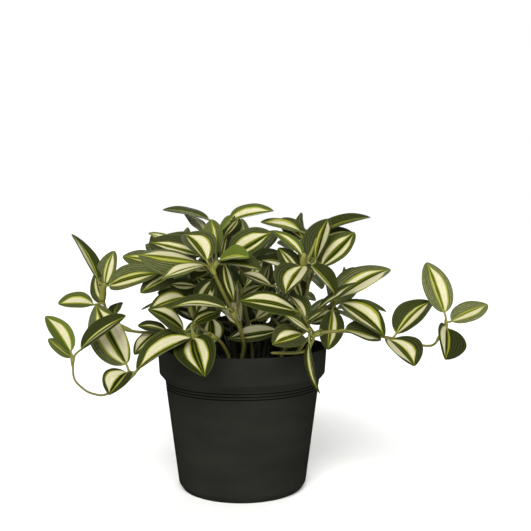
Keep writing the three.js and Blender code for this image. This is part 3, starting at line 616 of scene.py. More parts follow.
class Blade:
    """A leaf blade's base, length and width, and the ways it runs, faces and spreads."""

    def __init__(self, row, shift):
        turn, lift, swing = shift
        start = np.array(row[0:3], float)
        reach = np.array(row[3:6], float) - start
        self.length = np.linalg.norm(reach)
        self.width = row[6]
        self.fold = row[9]
        along = unit(reach)
        face = square_to(direction(row[7], row[8]), along)
        side = np.cross(face, along)
        level = math.cos(math.radians(swing)) * math.cos(math.radians(turn))
        self.along = unit(along * level + face * math.sin(math.radians(swing))
                          + side * math.sin(math.radians(turn)))
        self.base = start + face * lift
        self.face = square_to(face, self.along)
        self.side = np.cross(self.face, self.along)

    def tips(self):
        end = self.base + self.along * self.length
        half = self.face * BLADE_THICKNESS / 2
        return end + half, end - half


def placed_blade(row, spots):
    """The blade as it stands in the frame, found by the two corners of its tip."""
    for shift in SHIFTS:
        blade = Blade(row, shift)
        if all(np.abs(spots - tip).sum(axis=1).min() < TIP_MATCH for tip in blade.tips()):
            return blade
    return None


def curve_point(points, t):
    last = len(points) - 1
    index = min(int(t), last - 1)
    u = t - index
    p1 = np.array(points[index], float)
    p2 = np.array(points[index + 1], float)
    p0 = np.array(points[index - 1], float) if index > 0 else 2 * p1 - p2
    p3 = np.array(points[index + 2], float) if index + 2 <= last else 2 * p2 - p1
    return 0.5 * (2 * p1 + (p2 - p0) * u + (2 * p0 - 5 * p1 + 4 * p2 - p3) * u ** 2
                  + (3 * p1 - p0 - 3 * p2 + p3) * u ** 3)


def stalk_root(stems, row):
    """The nearest stem point to a spot behind the blade, and the way the stem runs there."""
    base = np.array(row[0:3], float)
    target = base - unit(np.array(row[3:6], float) - base) * LOOK_BACK
    nearest = None
    for _, _, _, points in stems:
        for step in range(ROOT_STEPS * (len(points) - 1) + 1):
            t = step / ROOT_STEPS
            point = curve_point(points, t)
            distance = np.linalg.norm(point - target)
            if nearest is None or distance < nearest[0]:
                before = curve_point(points, max(t - 1 / ROOT_STEPS, 0))
                after = curve_point(points, min(t + 1 / ROOT_STEPS, len(points) - 1))
                nearest = (distance, point, unit(after - before))
    return nearest[1], nearest[2]


# Deep inside the bush stems and leaves are darker.

BUSH_CENTRE = (0.0, 6.0, 88.0)
BUSH_REACH = (88.0, 72.0, 96.0)
SHADE = 0.9
SHADE_EDGE = 0.78
SHADE_SOFTNESS = 0.4


def inner_shade(points):
    depth = SHADE_EDGE - np.linalg.norm((points - BUSH_CENTRE) / BUSH_REACH, axis=1)
    return SHADE * np.clip(depth / SHADE_SOFTNESS, 0, 1)


# Meshes are gathered part by part. Each point may carry a leaf's bands and tone.

class Gathered:
    """Points, faces and what they wear, gathered from many parts into one mesh."""

    def __init__(self):
        self.points = []
        self.faces = []
        self.slots = []
        self.places = []
        self.bands = []
        self.tones = []
        self.rims = []
        self.count = 0

    def add(self, points, faces, slot, places=None, bands=(0,) * 4, tone=(0,) * 4, rims=None):
        """Adds a part. Slot is one number, or a list with one for each face.

        A tone is how bright a leaf is (on a stem how lime, on the pot how far into a groove),
        how grey with painted sheen, how deep in the bush's shade, and how broad its lime edges are.
        """
        size = len(points)
        points = np.asarray(points, float)
        self.points.append(points)
        self.faces.extend(tuple(int(i) + self.count for i in face) for face in faces)
        self.slots.extend(slot if isinstance(slot, list) else [slot] * len(faces))
        self.places.append(np.zeros((size, 2)) if places is None else places)
        self.bands.append(np.tile(bands, (size, 1)))
        tones = np.array(np.broadcast_to(tone, (size, 4)), float)
        tones[:, 2] = inner_shade(points)
        self.tones.append(tones)
        self.rims.append(np.zeros(size, int) if rims is None else rims)
        self.count += size

    def piece(self, name, materials):
        mesh = bpy.data.meshes.new(name)
        mesh.from_pydata(np.concatenate(self.points) * MM, [], self.faces)
        mesh.polygons.foreach_set("material_index", self.slots)
        mesh.polygons.foreach_set("use_smooth", [True] * len(self.faces))
        corners = np.zeros(len(mesh.loops), int)
        mesh.loops.foreach_get("vertex_index", corners)
        layer = mesh.uv_layers.new(name="leaf_place")
        layer.uv.foreach_set("vector", np.concatenate(self.places)[corners].ravel())
        for title, values in (("bands", self.bands), ("tone", self.tones)):
            attribute = mesh.attributes.new(title, "FLOAT_COLOR", "POINT")
            attribute.data.foreach_set("color", np.concatenate(values).ravel())
        rims = np.concatenate(self.rims)
        ends = np.zeros(len(mesh.edges) * 2, int)
        mesh.edges.foreach_get("vertices", ends)
        ends = rims[ends].reshape(-1, 2)
        sharp = mesh.attributes.new("sharp_edge", "BOOLEAN", "EDGE")
        sharp.data.foreach_set("value", (ends[:, 0] > 0) & (ends[:, 0] == ends[:, 1]))
        mesh.update()
        piece = bpy.data.objects.new(name, mesh)
        bpy.context.scene.collection.objects.link(piece)
        for material in materials:
            mesh.materials.append(material)
        return piece


def tube_faces(rings, sides):
    faces = []
    for ring in range(rings - 1):
        for side in range(sides):
            a = ring * sides + side
            b = ring * sides + (side + 1) % sides
            faces.append((a, b, b + sides, a + sides))
    faces.append(tuple(reversed(range(sides))))
    faces.append(tuple(range((rings - 1) * sides, rings * sides)))
    return faces


def tube(centres, radii, sides, across):
    """Rings of points round a line, turned as little as possible from one to the next."""
    rings = []
    for index, centre in enumerate(centres):
        before = centres[max(index - 1, 0)]
        after = centres[min(index + 1, len(centres) - 1)]
        along = unit(after - before)
        across = square_to(across, along)
        other = np.cross(along, across)
        angles = np.arange(sides) * 2 * math.pi / sides
        rings.append(centre + radii[index] * (np.outer(np.cos(angles), across)
                                              + np.outer(np.sin(angles), other)))
    return np.concatenate(rings)


# Stems

LIME = (1.0, 0.0, 0.0, 0.0)


def add_stem(gathered, stem, slot):
    (foot_thick, tip_thick), joints, limeness, points = stem
    last = len(points) - 1
    spots = [curve_point(points, step / CURVE_STEPS) for step in range(CURVE_STEPS * last + 1)]
    steps = np.linalg.norm(np.diff(spots, axis=0), axis=1)
    reach = np.concatenate([[0], np.cumsum(steps)])
    count = max(int(reach[-1] / STEM_STEP), 6)
    wanted = np.linspace(0, reach[-1], count + 1)
    centres = np.stack([np.interp(wanted, reach, axis) for axis in np.array(spots).T], axis=1)
    share = wanted / reach[-1]
    plain_radii = (foot_thick + (tip_thick - foot_thick) * share) / 2
    radii = plain_radii * STEM_ROUND
    for joint in joints:
        away = wanted - reach[CURVE_STEPS * joint]
        radii *= 1 + (JOINT_SWELL - 1) * np.where(
            away < 0, bump(away, JOINT_REACH * 0.7), bump(away, JOINT_REACH * 1.5))
    if points[0][2] < SOIL_TOP:
        first = int(np.argmax(centres[:, 2] > STEM_FOOT_HIDDEN))
        centres, radii = centres[first:], radii[first:]
    else:
        radii[0] *= 0.8
    radii[-1] *= 0.6
    rings = tube(centres, radii, STEM_SIDES, np.array([1.0, 0.0, 0.0]))
    gathered.add(rings, tube_faces(len(centres), STEM_SIDES), slot, tone=(limeness, 0, 0, 0))
    for joint in joints:
        here = curve_point(points, joint)
        way = unit(curve_point(points, min(joint + 0.1, last)) - curve_point(points, joint - 0.1))
        radius = np.interp(reach[CURVE_STEPS * joint], wanted, plain_radii)
        add_sheath(gathered, here, way, radius, slot)


def add_sheath(gathered, centre, way, radius, slot):
    """A short papery collar that clasps the stem at a joint, open and slanted on top."""
    across = square_to(np.array([0.3, 1.0, 0.2]), way)
    other = np.cross(way, across)
    angles = np.arange(STEM_SIDES) * 2 * math.pi / STEM_SIDES
    rings = []
    for height, swell in SHEATH:
        slant = SHEATH_SLANT * np.cos(angles) * max(height, 0) / SHEATH_TOP
        ring = (centre + np.outer(height + slant, way)
                + radius * swell * (np.outer(np.cos(angles), across)
                                    + np.outer(np.sin(angles), other)))
        rings.append(ring)
    gathered.add(np.concatenate(rings), tube_faces(len(SHEATH), STEM_SIDES), slot, tone=LIME)


# Leaves

def blade_half(s):
    """Half the width at s along the blade, as a share of the widest width."""
    return 1.17 * s ** 0.55 * (1 - s) ** 0.70


def blade_surface(blade, draw):
    s = 0.5 - 0.5 * np.cos(np.pi * np.linspace(0, 1, BLADE_ROWS + 1))
    s = 0.6 * s + 0.4 * np.linspace(0, 1, BLADE_ROWS + 1)
    a = np.linspace(-1, 1, BLADE_COLUMNS + 1)
    s, a = np.meshgrid(s, a, indexing="ij")
    half = np.sqrt((blade.width * blade_half(s)) ** 2 + (STALK_WIDTH * 0.42 * (1 - s)) ** 2)
    side_share = (np.sqrt(a * a + CREASE ** 2) - CREASE) / (math.sqrt(1 + CREASE ** 2) - CREASE)
    fold = blade.fold * (1 + draw(*FOLD_RANGE) + 0.6 * (1 - s) ** 3)
    curl = draw(*CURL_RANGE) * a ** 4
    depth = draw(*WAVE_RANGE)
    wave_place = s * draw(*WAVE_COUNT_RANGE) + draw(*WAVE_START_RANGE)
    wave = depth * np.sin(wave_place + 1.3 * np.sign(a)) * a * a
    droop = draw(*DROOP_RANGE) * blade.length * np.clip((s - 0.55) / 0.45, 0, 1) ** 2
    arch = ARCH_RISE * blade.length * 4 * s * (1 - s)
    rise = arch + half * (fold * side_share - curl) + wave * (s * (1 - s) * 4) + droop
    twist = np.radians(draw(*TWIST_RANGE)) * s
    sway = draw(*SWAY_RANGE) * blade.length * np.sin(np.pi * s)
    out = half * a * np.cos(twist) + sway
    rise = rise + half * a * np.sin(twist)
    points = (blade.base + s[..., None] * blade.length * blade.along
              + out[..., None] * blade.side + rise[..., None] * blade.face)
    return points, s, a


def surface_normals(points):
    along = np.gradient(points, axis=0)
    across = np.gradient(points, axis=1)
    normals = np.cross(across, along)
    lengths = np.linalg.norm(normals, axis=2, keepdims=True)
    lengths[lengths < 1e-9] = 1
    normals = normals / lengths
    normals[-1] = normals[-2]
    return normals


def add_blade(gathered, blade, look, draw, slots):
    points, s, a = blade_surface(blade, draw)
    normals = surface_normals(points)
    middle = BLADE_COLUMNS // 2
    facing = np.sign((normals[BLADE_ROWS // 2, middle] * blade.face).sum())
    normals *= facing
    thick = BLADE_THIN / 2 * (1 - 0.6 * np.abs(a) ** 6)
    upper = points + normals * thick[..., None]
    lower = points - normals * thick[..., None]
    tip = points[-1, middle]
    upper[-1] = tip + normals[-2, middle] * BLADE_TIP
    lower[-1] = tip - normals[-2, middle] * BLADE_TIP
    rows, columns = BLADE_ROWS, BLADE_COLUMNS
    wide = columns + 1
    size = rows * wide
    upper_points = list(upper[:rows].reshape(-1, 3)) + [upper[-1, middle]]
    lower_points = list(lower[:rows].reshape(-1, 3)) + [lower[-1, middle]]
    places = np.stack([(a[:rows].reshape(-1) + 1) / 2, s[:rows].reshape(-1)], axis=1)
    places = np.concatenate([places, [[0.5, 1.0]]])
    rims = np.zeros((rows, wide), int)
    rims[:, 0] = rims[:, -1] = rims[0, :] = 1
    rims = np.concatenate([rims.ravel(), [1]])
    upper_faces, lower_faces = [], []
    tip_up, tip_low = size, 2 * size + 1
    shift = size + 1
    for row in range(rows - 1):
        for column in range(columns):
            p = row * wide + column
            upper_faces.append((p, p + 1, p + 1 + wide, p + wide))
            q = p + shift
            lower_faces.append((q, q + wide, q + 1 + wide, q + 1))
    for column in range(columns):
        p = (rows - 1) * wide + column
        upper_faces.append((p, p + 1, tip_up))
        lower_faces.append((p + shift, tip_low, p + shift + 1))
    border = list(range(wide))
    border += [row * wide + columns for row in range(1, rows)]
    border += [tip_up]
    border += [row * wide for row in range(rows - 1, 0, -1)]
    rim_faces = [(after, here, here + shift, after + shift)
                 for here, after in zip(border, border[1:] + border[:1])]
    faces = upper_faces + lower_faces + rim_faces
    turn = np.cross(upper_points[1] - upper_points[0], upper_points[wide] - upper_points[0])
    if np.dot(turn, blade.face) < 0:
        faces = [tuple(reversed(face)) for face in faces]
    above, below = slots
    wear = [above] * len(upper_faces) + [below] * len(lower_faces) + [above] * len(rim_faces)
    tone, *bands = look
    bright, grey, lime = TONES[tone]
    bands = [limit * draw(*BAND_RANGE) for limit in bands]
    bright = min(max(bright + draw(*BRIGHT_RANGE), 0), 1)
    grey = min(max(grey + draw(*GREY_RANGE), 0), 1)
    gathered.add(upper_points + lower_points, faces, wear, np.concatenate([places, places]),
                 bands, (bright, grey, 0, lime), np.concatenate([rims, rims * 2]))
    return points, normals


def add_stalk(gathered, root, stem_way, blade, surface, normals, slot):
    """The stalk bends out of the stem, reaches the blade and runs on under its midrib."""
    middle = BLADE_COLUMNS // 2
    reach = np.linalg.norm(blade.base - root)
    leave = unit(stem_way * 0.6 + unit(blade.base - root))
    pull = reach * STALK_PULL
    p1 = root + leave * pull
    p2 = blade.base - blade.along * pull
    centres = []
    shares = np.linspace(0, 1, STALK_STEPS)
    for u in shares:
        centres.append(root * (1 - u) ** 3 + 3 * p1 * u * (1 - u) ** 2
                       + 3 * p2 * u * u * (1 - u) + blade.base * u ** 3)
    radii = list(np.interp(shares, [0, 0.3, 1], [1.15, 0.82, 0.72]))
    for row in STALK_UNDER_ROWS:
        radius = 0.62 * (1 - (row - 2) / 11)
        centres.append(surface[row, middle] - normals[row, middle] * (0.1 + radius * 0.45))
        radii.append(radius)
    rings = tube(centres, radii, STALK_SIDES, blade.face)
    gathered.add(rings, tube_faces(len(centres), STALK_SIDES), slot, tone=LIME)


def stand_in(piece, node):
    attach(piece, "root")
    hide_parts(node)


def leafy_stem(name, stems, rows, materials):
    node = frame["nodes"][name]
    spots = np.zeros(len(node.data.vertices) * 3)
    node.data.vertices.foreach_get("co", spots)
    spots = spots.reshape(-1, 3) / MM
    gathered = Gathered()
    for stem in stems:
        add_stem(gathered, stem, 2)
    for index, row in enumerate(rows):
        blade = placed_blade(row, spots)
        if blade is None:
            continue
        draw = random_row(LEAF_SEED + sum(map(ord, name)) * NAME_STEP + index * INDEX_STEP)
        draw(0, 1)
        surface, normals = add_blade(gathered, blade, row[10:], draw, (0, 1))
        root, stem_way = stalk_root(stems, row)
        add_stalk(gathered, root, stem_way, blade, surface, normals, 2)
    stand_in(gathered.piece(name + "_leafy", materials), name)


# Pot and soil

def rounded(outline, radii, steps=5):
    """An outline whose corners are rounded, each by its own radius."""
    smooth = []
    for index, corner in enumerate(outline):
        radius = radii.get(index, 0)
        if radius == 0:
            smooth.append(corner)
            continue
        here = np.array(corner, float)
        before = np.array(outline[index - 1], float) - here
        after = np.array(outline[index + 1], float) - here
        angle = math.acos(np.dot(unit(before), unit(after)))
        cut = min(radius / math.tan(angle / 2), np.linalg.norm(before) * 0.48,
                  np.linalg.norm(after) * 0.48)
        start, end = here + unit(before) * cut, here + unit(after) * cut
        for step in range(steps + 1):
            u = step / steps
            smooth.append(tuple(start * (1 - u) ** 2 + 2 * here * u * (1 - u) + end * u * u))
    return smooth


def body_radius(height):
    slope = (BODY_TOP_RADIUS - BODY_BOTTOM_RADIUS) / (BODY_TOP - BODY_BOTTOM)
    return BODY_BOTTOM_RADIUS + slope * (height - BODY_BOTTOM)


def pot_outline():
    outline = [(0, 0), (FOOT_RADIUS, 0), (BODY_BOTTOM_RADIUS, BODY_BOTTOM)]
    radii = dict(enumerate(FOOT_CORNERS, 1))
    for height in GROOVE_HEIGHTS:
        radius = body_radius(height)
        half = GROOVE_WIDTH / 2
        start = len(outline)
        inside, flat = radius - GROOVE_DEPTH, half * GROOVE_FLAT
        outline += [(radius, height - half), (inside, height - flat), (inside, height + flat),
                    (radius, height + half)]
        radii.update(enumerate(GROOVE_CORNERS, start))
    start = len(outline)
    outline += [
        (BODY_TOP_RADIUS, BODY_TOP),
        (BAND_BOTTOM_RADIUS, BAND_BOTTOM),
        (RIM_RADIUS, RIM_TOP),
        (RIM_RADIUS - WALL, RIM_TOP),
        (BAND_BOTTOM_RADIUS - WALL, BAND_BOTTOM),
        (BODY_TOP_RADIUS - WALL, BODY_TOP - 1),
        (BODY_BOTTOM_RADIUS - WALL, BODY_BOTTOM),
        (FOOT_RADIUS - WALL, FLOOR_THICKNESS),
        (0, FLOOR_THICKNESS),
    ]
    radii.update(enumerate(BAND_CORNERS, start))
    return rounded(outline, radii)


def turned(outline, sides):
    """A closed solid of revolution, from the axis round to the axis."""
    points = [(0, 0, outline[0][1])]
    angles = np.arange(sides) * 2 * math.pi / sides
    for radius, height in outline[1:-1]:
        for angle in angles:
            points.append((radius * math.cos(angle), radius * math.sin(angle), height))
    points.append((0, 0, outline[-1][1]))
    rings = len(outline) - 2
    faces = []
    for side in range(sides):
        after = (side + 1) % sides
        faces.append((0, 1 + after, 1 + side))
        end = 1 + (rings - 1) * sides
        faces.append((end + side, end + after, len(points) - 1))
        for ring in range(rings - 1):
            a = 1 + ring * sides
            faces.append((a + side, a + after, a + after + sides, a + side + sides))
    return np.array(points, float), faces


def make_pot(material):
    gathered = Gathered()
    points, faces = turned(pot_outline(), POT_SIDES)
    tones = np.zeros((len(points), 4))
    for height in GROOVE_HEIGHTS:
        off = np.abs(points[:, 2] - height) / (GROOVE_WIDTH / 2)
        tones[:, 0] = np.maximum(tones[:, 0], np.clip(GROOVE_SHADE - off, 0, 1))
    gathered.add(points, faces, 0, tone=tones)
    stand_in(gathered.piece("pot_fine", [material]), "pot")


def soil_height(x, y):
    """Low humps of several sizes over the soil."""
    height = np.zeros_like(x)
    for number, phase, share in SOIL_WAVES:
        turn = phase * 1.7
        along = x * math.cos(turn) + y * math.sin(turn)
        across = y * math.cos(turn) - x * math.sin(turn)
        height += share * np.sin(along * number + phase) * np.cos(across * number * 1.3 - phase)
    return height * SOIL_RELIEF


def make_soil(material):
    share = (SOIL_TOP - BAND_BOTTOM) / (RIM_TOP - BAND_BOTTOM)
    edge = BAND_BOTTOM_RADIUS + (RIM_RADIUS - BAND_BOTTOM_RADIUS) * share - WALL - SOIL_GAP
    inward = WALL + SOIL_GAP
    outline = [
        (0, FLOOR_THICKNESS + SOIL_GAP),
        (FOOT_RADIUS - inward, FLOOR_THICKNESS + SOIL_GAP),
        (BODY_BOTTOM_RADIUS - inward, BODY_BOTTOM + SOIL_GAP),
        (BODY_TOP_RADIUS - inward, BODY_TOP - 1),
        (BAND_BOTTOM_RADIUS - inward, BAND_BOTTOM),
    ]
    outline += [(edge * ring / SOIL_RINGS, SOIL_TOP) for ring in range(SOIL_RINGS, 0, -1)]
    outline += [(0, SOIL_TOP)]
    points, faces = turned(outline, SOIL_SIDES)
    top = points[:, 2] >= SOIL_TOP - 1e-6
    radius = np.hypot(points[:, 0], points[:, 1])
    humps = soil_height(points[:, 0], points[:, 1])
    points[top, 2] += (humps * np.clip((edge - radius) / SOIL_EDGE_FADE, 0, 1))[top]
    gathered = Gathered()
    gathered.add(points, faces, 0)
    draw = random_row(CRUMB_SEED)
    for _ in range(CRUMB_COUNT):
        distance = (edge - 2) * math.sqrt(draw(0, 1))
        turn = draw(0, 2 * math.pi)
        size = draw(0.7, 1.9) * draw(0.7, 1.3)
        x, y = distance * math.cos(turn), distance * math.sin(turn)
        hump = float(soil_height(np.array([x]), np.array([y]))[0])
        z = SOIL_TOP + hump + size * CRUMB_LIFT
        add_crumb(gathered, np.array([x, y, z]), size, draw)
    stand_in(gathered.piece("soil_fine", [material]), "soil")


def add_crumb(gathered, centre, size, draw):
    points = []
    stretch = (draw(0.8, 1.4), draw(0.8, 1.2), draw(0.5, 0.8))
    for ring in range(1, CRUMB_RINGS):
        level = math.pi * ring / CRUMB_RINGS
        for side in range(CRUMB_SIDES):
            angle = 2 * math.pi * side / CRUMB_SIDES + 0.4 * ring
            radius = size * draw(0.82, 1.15)
            points.append((radius * math.sin(level) * math.cos(angle) * stretch[0],
                           radius * math.sin(level) * math.sin(angle) * stretch[1],
                           -radius * math.cos(level) * stretch[2]))
    gathered.add(centre + np.array(points), tube_faces(CRUMB_RINGS - 1, CRUMB_SIDES), 0)


# Materials

def colour(code):
    """A linear colour from a six-digit sRGB code."""
    parts = [int(code[i:i + 2], 16) / 255 for i in (0, 2, 4)]
    linear = [p / 12.92 if p <= 0.04045 else ((p + 0.055) / 1.055) ** 2.4 for p in parts]
    return (*linear, 1.0)


class Graph:
    """A material's node tree, with short ways to add the nodes used here."""

    def __init__(self, name):
        self.material = bpy.data.materials.new(name)
        self.material.use_nodes = True
        self.tree = self.material.node_tree
        self.shader = self.tree.nodes["Principled BSDF"]

    def node(self, kind, inputs=(), **settings):
        made = self.tree.nodes.new(kind)
        for title, value in settings.items():
            setattr(made, title, value)
        for key, value in dict(inputs).items():
            self.put(value, made.inputs[key])
        return made

    def put(self, value, socket):
        if isinstance(value, bpy.types.NodeSocket):
            self.tree.links.new(value, socket)
        else:
            socket.default_value = value

    def math(self, operation, *values, clamp=False):
        made = self.node("ShaderNodeMath", enumerate(values), operation=operation)
        made.use_clamp = clamp
        return made.outputs[0]

    def times(self, first, second):
        return self.math("MULTIPLY", first, second)

    def linear(self, value, slope, start):
        return self.math("MULTIPLY_ADD", value, slope, start)

    def smooth(self, value, low, high):
        inputs = {"Value": value, "From Min": low, "From Max": high}
        return self.node("ShaderNodeMapRange", inputs, interpolation_type="SMOOTHSTEP").outputs[0]

    def blend(self, share, first, second):
        """A number between two numbers."""
        return self.linear(self.math("SUBTRACT", second, first), share, first)

    def mix(self, share, first, second):
        made = self.node("ShaderNodeMix", data_type="RGBA")
        self.put(share, made.inputs[0])
        self.put(first, made.inputs[6])
        self.put(second, made.inputs[7])
        return made.outputs[2]

    def noise(self, scale, detail=3.0, vector=None, roughness=0.5):
        inputs = {"Scale": scale, "Detail": detail, "Roughness": roughness}
        if vector is not None:
            inputs["Vector"] = vector
        return self.node("ShaderNodeTexNoise", inputs).outputs["Fac"]

    def bump(self, height, strength, distance):
        inputs = {"Height": height, "Strength": strength, "Distance": distance}
        return self.node("ShaderNodeBump", inputs).outputs["Normal"]

    def object_place(self):
        return self.node("ShaderNodeTexCoord").outputs["Object"]

    def combined(self, x, y, z):
        return self.node("ShaderNodeCombineXYZ", {"X": x, "Y": y, "Z": z}).outputs[0]

    def channels(self, title):
        """The red, green, blue and alpha of a mesh's attribute."""
        read = self.node("ShaderNodeAttribute", attribute_name=title)
        parts = self.node("ShaderNodeSeparateColor", {"Color": read.outputs["Color"]})
        return *(parts.outputs[index] for index in range(3)), read.outputs["Alpha"]

    def surface(self, base, rough, specular=None, normal=None):
        """Puts the colour and the rest on the shader, and gives the material back."""
        wanted = {"Base Color": base, "Roughness": rough, "Specular IOR Level": specular,
                  "Normal": normal}
        for title, value in wanted.items():
            if value is not None:
                self.put(value, self.shader.inputs[title])
        return self.material


def leaf_material(name, underside):
    g = Graph(name)
    place = g.node("ShaderNodeUVMap", uv_map="leaf_place").outputs["UV"]
    parts = g.node("ShaderNodeSeparateXYZ", {"Vector": place})
    u, v = parts.outputs["X"], parts.outputs["Y"]
    left_inner, left_outer, right_inner, right_outer = g.channels("bands")
    brightness, greyness, shade, lime_width = g.channels("tone")
    chance = g.linear(left_outer, 37.0, g.times(right_inner, 53.0))

    signed = g.linear(u, 2.0, -1.0)
    across = g.math("ABSOLUTE", signed)
    shifted = g.combined(g.times(signed, 1.6), g.times(v, 5.0), chance)
    drift = g.math("SUBTRACT", g.noise(1.0, 2.0, shifted), 0.5)
    edge = g.linear(drift, 0.07, across)

    middle_share = g.times(g.times(v, g.math("SUBTRACT", 1.0, v)), 4.0)
    taper = g.math("POWER", middle_share, 0.35)
    opening = g.times(taper, g.math("SQRT", g.smooth(v, 0.97, 0.62)))
    left = g.smooth(signed, -0.02, 0.02)
    inner = g.blend(left, right_inner, left_inner)
    inner = g.times(inner, g.linear(taper, 0.35, 0.65))
    outer = g.blend(opening, inner, g.blend(left, right_outer, left_outer))

    def past(limit, offset, width):
        start = g.math("ADD", limit, offset)
        return g.math("DIVIDE", g.math("SUBTRACT", edge, start), width, clamp=True)

    ribs = g.math("SINE", g.times(g.math("ADD", across, g.times(drift, 0.04)), RIB_COUNT))
    ribs = g.linear(ribs, 0.5, 0.5)
    streak = g.noise(1.0, 2.0, g.combined(g.times(signed, 26.0), g.times(v, 3.0), chance))
    grain = g.noise(1.0, 1.0, g.combined(g.times(signed, 15.0), g.times(v, 26.0), chance))
    grain = g.smooth(grain, 0.3, 0.7)

    deep = g.mix(g.times(ribs, 0.7), colour("0e1103"), colour("2c3012"))
    bright = g.mix(g.times(ribs, 0.5), colour("424e14"), colour("5e6830"))
    green = g.mix(brightness, deep, bright)
    # Painted sheen: a grey lightening over streaks of the blade, as much as its greyness asks.
    painted_sheen = g.mix(g.times(ribs, 0.8), colour("464926"), colour("8e9066"))
    painted_sheen = g.mix(g.times(grain, 0.5), painted_sheen, colour("34371c"))
    green = g.mix(g.times(greyness, g.smooth(streak, 0.1, 0.75)), green, painted_sheen)
    green = g.mix(g.times(g.smooth(edge, 0.93, 1.0), 0.45), green, colour("586432"))

    cream = g.mix(g.smooth(streak, 0.25, 0.8), colour("b9b398"), colour("a09b78"))
    cream = g.mix(g.times(grain, 0.3), cream, colour("8b8a5e"))
    lime = g.mix(brightness, colour("70741a"), colour("86892e"))
    cream_end = g.math("SUBTRACT", outer, lime_width)
    pattern = g.mix(past(cream_end, -0.02, 0.06), cream, lime)
    pattern = g.mix(past(outer, -0.02, 0.05), pattern, green)
    pattern = g.mix(past(inner, 0.02, 0.07), lime, pattern)
    middle = g.mix(brightness, colour("121704"), colour("3c4a14"))
    pattern = g.mix(past(inner, -0.045, 0.05), middle, pattern)
    pattern = g.mix(g.times(g.smooth(across, 0.05, 0.02), 0.6), pattern, colour("5c6122"))
    ends = g.smooth(v, 0.06, 0.0)
    pattern = g.mix(ends, pattern, colour("666d2c"))
    if underside:
        pale = g.mix(g.smooth(streak, 0.3, 0.7), colour("465030"), colour("5a6440"))
        pattern = g.mix(0.62, pattern, pale)
    pattern = g.mix(shade, pattern, colour("0a0d05"))

    weave = g.noise(1400.0, 2.0, g.object_place())
    height = g.math("ADD", g.times(ribs, 0.7), g.times(weave, 0.5))
    return g.surface(pattern, g.linear(streak, 0.16, 0.42), specular=0.03,
                     normal=g.bump(height, 0.35, 0.00012))


def stem_material():
    g = Graph("stem")
    place = g.object_place()
    limeness, _, shade, _ = g.channels("tone")
    wide = g.smooth(g.noise(38.0, 2.0, place), 0.35, 0.65)
    fine = g.smooth(g.noise(700.0, 3.0, place), 0.3, 0.7)
    olive = g.mix(wide, colour("4a461a"), colour("58581f"))
    olive = g.mix(g.times(fine, 0.35), olive, colour("3b2e0f"))
    lime = g.mix(wide, colour("5e5e24"), colour("6f7034"))
    lime = g.mix(g.times(fine, 0.2), lime, colour("67602b"))
    base = g.mix(shade, g.mix(limeness, olive, lime), colour("090a05"))
    return g.surface(base, g.linear(fine, 0.15, 0.4), specular=0.2,
                     normal=g.bump(fine, 0.25, 0.0001))


def pot_material():
    g = Graph("pot")
    place = g.object_place()
    stretched = g.node("ShaderNodeMapping", {"Vector": place, "Scale": (1, 1, 3)}).outputs[0]
    cloud = g.smooth(g.noise(22.0, 4.0, stretched), 0.3, 0.7)
    grain = g.noise(1800.0, 2.0, stretched)
    base = g.mix(cloud, colour("191a17"), colour("1e1f1b"))
    base = g.mix(g.times(g.smooth(grain, 0.45, 0.7), 0.25), base, colour("2b2b25"))
    base = g.mix(g.channels("tone")[0], base, colour("060605"))
    return g.surface(base, g.linear(cloud, 0.08, 0.46), specular=0.0,
                     normal=g.bump(grain, 0.25, 0.00008))


def soil_material():
    g = Graph("soil")
    place = g.object_place()
    coarse = g.noise(420.0, 6.0, place, 0.65)
    fine = g.noise(2200.0, 3.0, place)
    base = g.mix(g.smooth(coarse, 0.35, 0.7), colour("080705"), colour("17130d"))
    base = g.mix(g.times(g.smooth(fine, 0.6, 0.8), 0.4), base, colour("2a2219"))
    return g.surface(base, 0.95, specular=0.05,
                     normal=g.bump(g.math("ADD", coarse, fine), 0.8, 0.0008))


def floor_material():
    g = Graph("floor")
    place = g.object_place()
    return g.surface(g.mix(g.noise(3.0, 3.0, place), colour("f2f2f0"), colour("f5f5f3")), 0.9)


# Stage

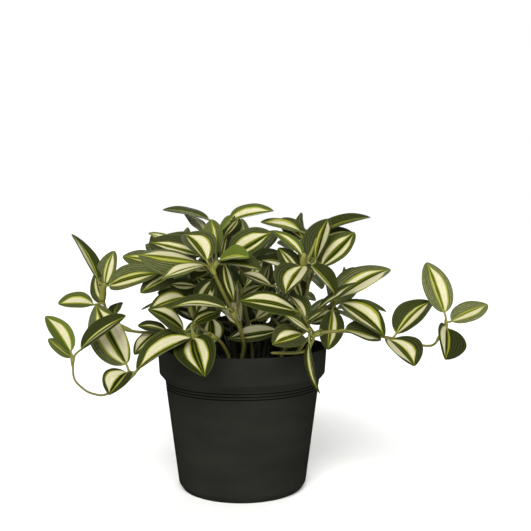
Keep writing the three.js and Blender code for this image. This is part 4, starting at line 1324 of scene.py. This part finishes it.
def make_stage():
    mesh = bpy.data.meshes.new("floor")
    corners = [(-1, -1), (1, -1), (1, 1), (-1, 1)]
    mesh.from_pydata([(x * FLOOR_HALF, y * FLOOR_HALF, 0) for x, y in corners], [], [(0, 1, 2, 3)])
    mesh.materials.append(floor_material())
    floor = bpy.data.objects.new("floor", mesh)
    bpy.context.scene.collection.objects.link(floor)
    floor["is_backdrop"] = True

    world = bpy.data.worlds.new("studio")
    bpy.context.scene.world = world
    world.use_nodes = True
    tree = world.node_tree
    backdrop = tree.nodes["Background"]
    ramp = tree.nodes.new("ShaderNodeValToRGB")
    parts = tree.nodes.new("ShaderNodeSeparateXYZ")
    place = tree.nodes.new("ShaderNodeTexCoord")
    tree.links.new(place.outputs["Generated"], parts.inputs["Vector"])
    tree.links.new(parts.outputs["Z"], ramp.inputs["Fac"])
    tree.links.new(ramp.outputs["Color"], backdrop.inputs["Color"])
    ramp.color_ramp.interpolation = "EASE"
    steps = ((BACKDROP, BACKDROP_TO), (DOME, DOME_FROM))
    for element, (white, position) in zip(ramp.color_ramp.elements, steps):
        element.color = (white, white, white, 1)
        element.position = position

    for name, facts in BOXES.items():
        add_box(name, *facts)
    for name, facts in SUNS.items():
        add_sun(name, *facts)


def add_sun(name, power, tilt, turn):
    data = bpy.data.lights.new(name, "SUN")
    data.energy = power
    data.angle = math.radians(SUN_SPREAD)
    sun = bpy.data.objects.new(name, data)
    sun.rotation_euler = (math.radians(tilt), 0, math.radians(turn))
    bpy.context.scene.collection.objects.link(sun)


def add_box(name, place, power):
    data = bpy.data.lights.new(name, "AREA")
    data.size = BOX_SIZE
    data.energy = power
    light = bpy.data.objects.new(name, data)
    light.location = place
    way = np.array(BOX_TARGET) - np.array(place)
    light.rotation_euler = (math.acos(-way[2] / np.linalg.norm(way)), 0,
                            math.atan2(way[0], -way[1]) + math.pi)
    bpy.context.scene.collection.objects.link(light)


def make_camera():
    data = bpy.data.cameras.new("camera")
    data.sensor_width = SENSOR
    data.lens = SENSOR * FOCAL_PIXELS / IMAGE_PIXELS
    data.clip_start = 0.01
    camera = bpy.data.objects.new("camera", data)
    camera.location = [value * MM for value in CAMERA_PLACE]
    camera.rotation_euler = (math.radians(90 - CAMERA_PITCH), 0, 0)
    bpy.context.scene.collection.objects.link(camera)
    bpy.context.scene.camera = camera


bpy.context.scene.view_settings.view_transform = "Standard"
make_camera()
make_stage()
make_pot(pot_material())
make_soil(soil_material())
leaf_wear = [leaf_material("leaf_upper", False), leaf_material("leaf_under", True)]
leaf_wear.append(stem_material())
for name in STEMS:
    leafy_stem(name, STEMS[name], LEAVES[name], leaf_wear)
for name, facts in HIDDEN_SHOOTS.items():
    leafy_stem(name, *hidden_shoot(*facts), leaf_wear)

boxes = {"cad": cad_box, "visual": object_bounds()}
{key: [list(corner) for corner in box] for key, box in boxes.items()}
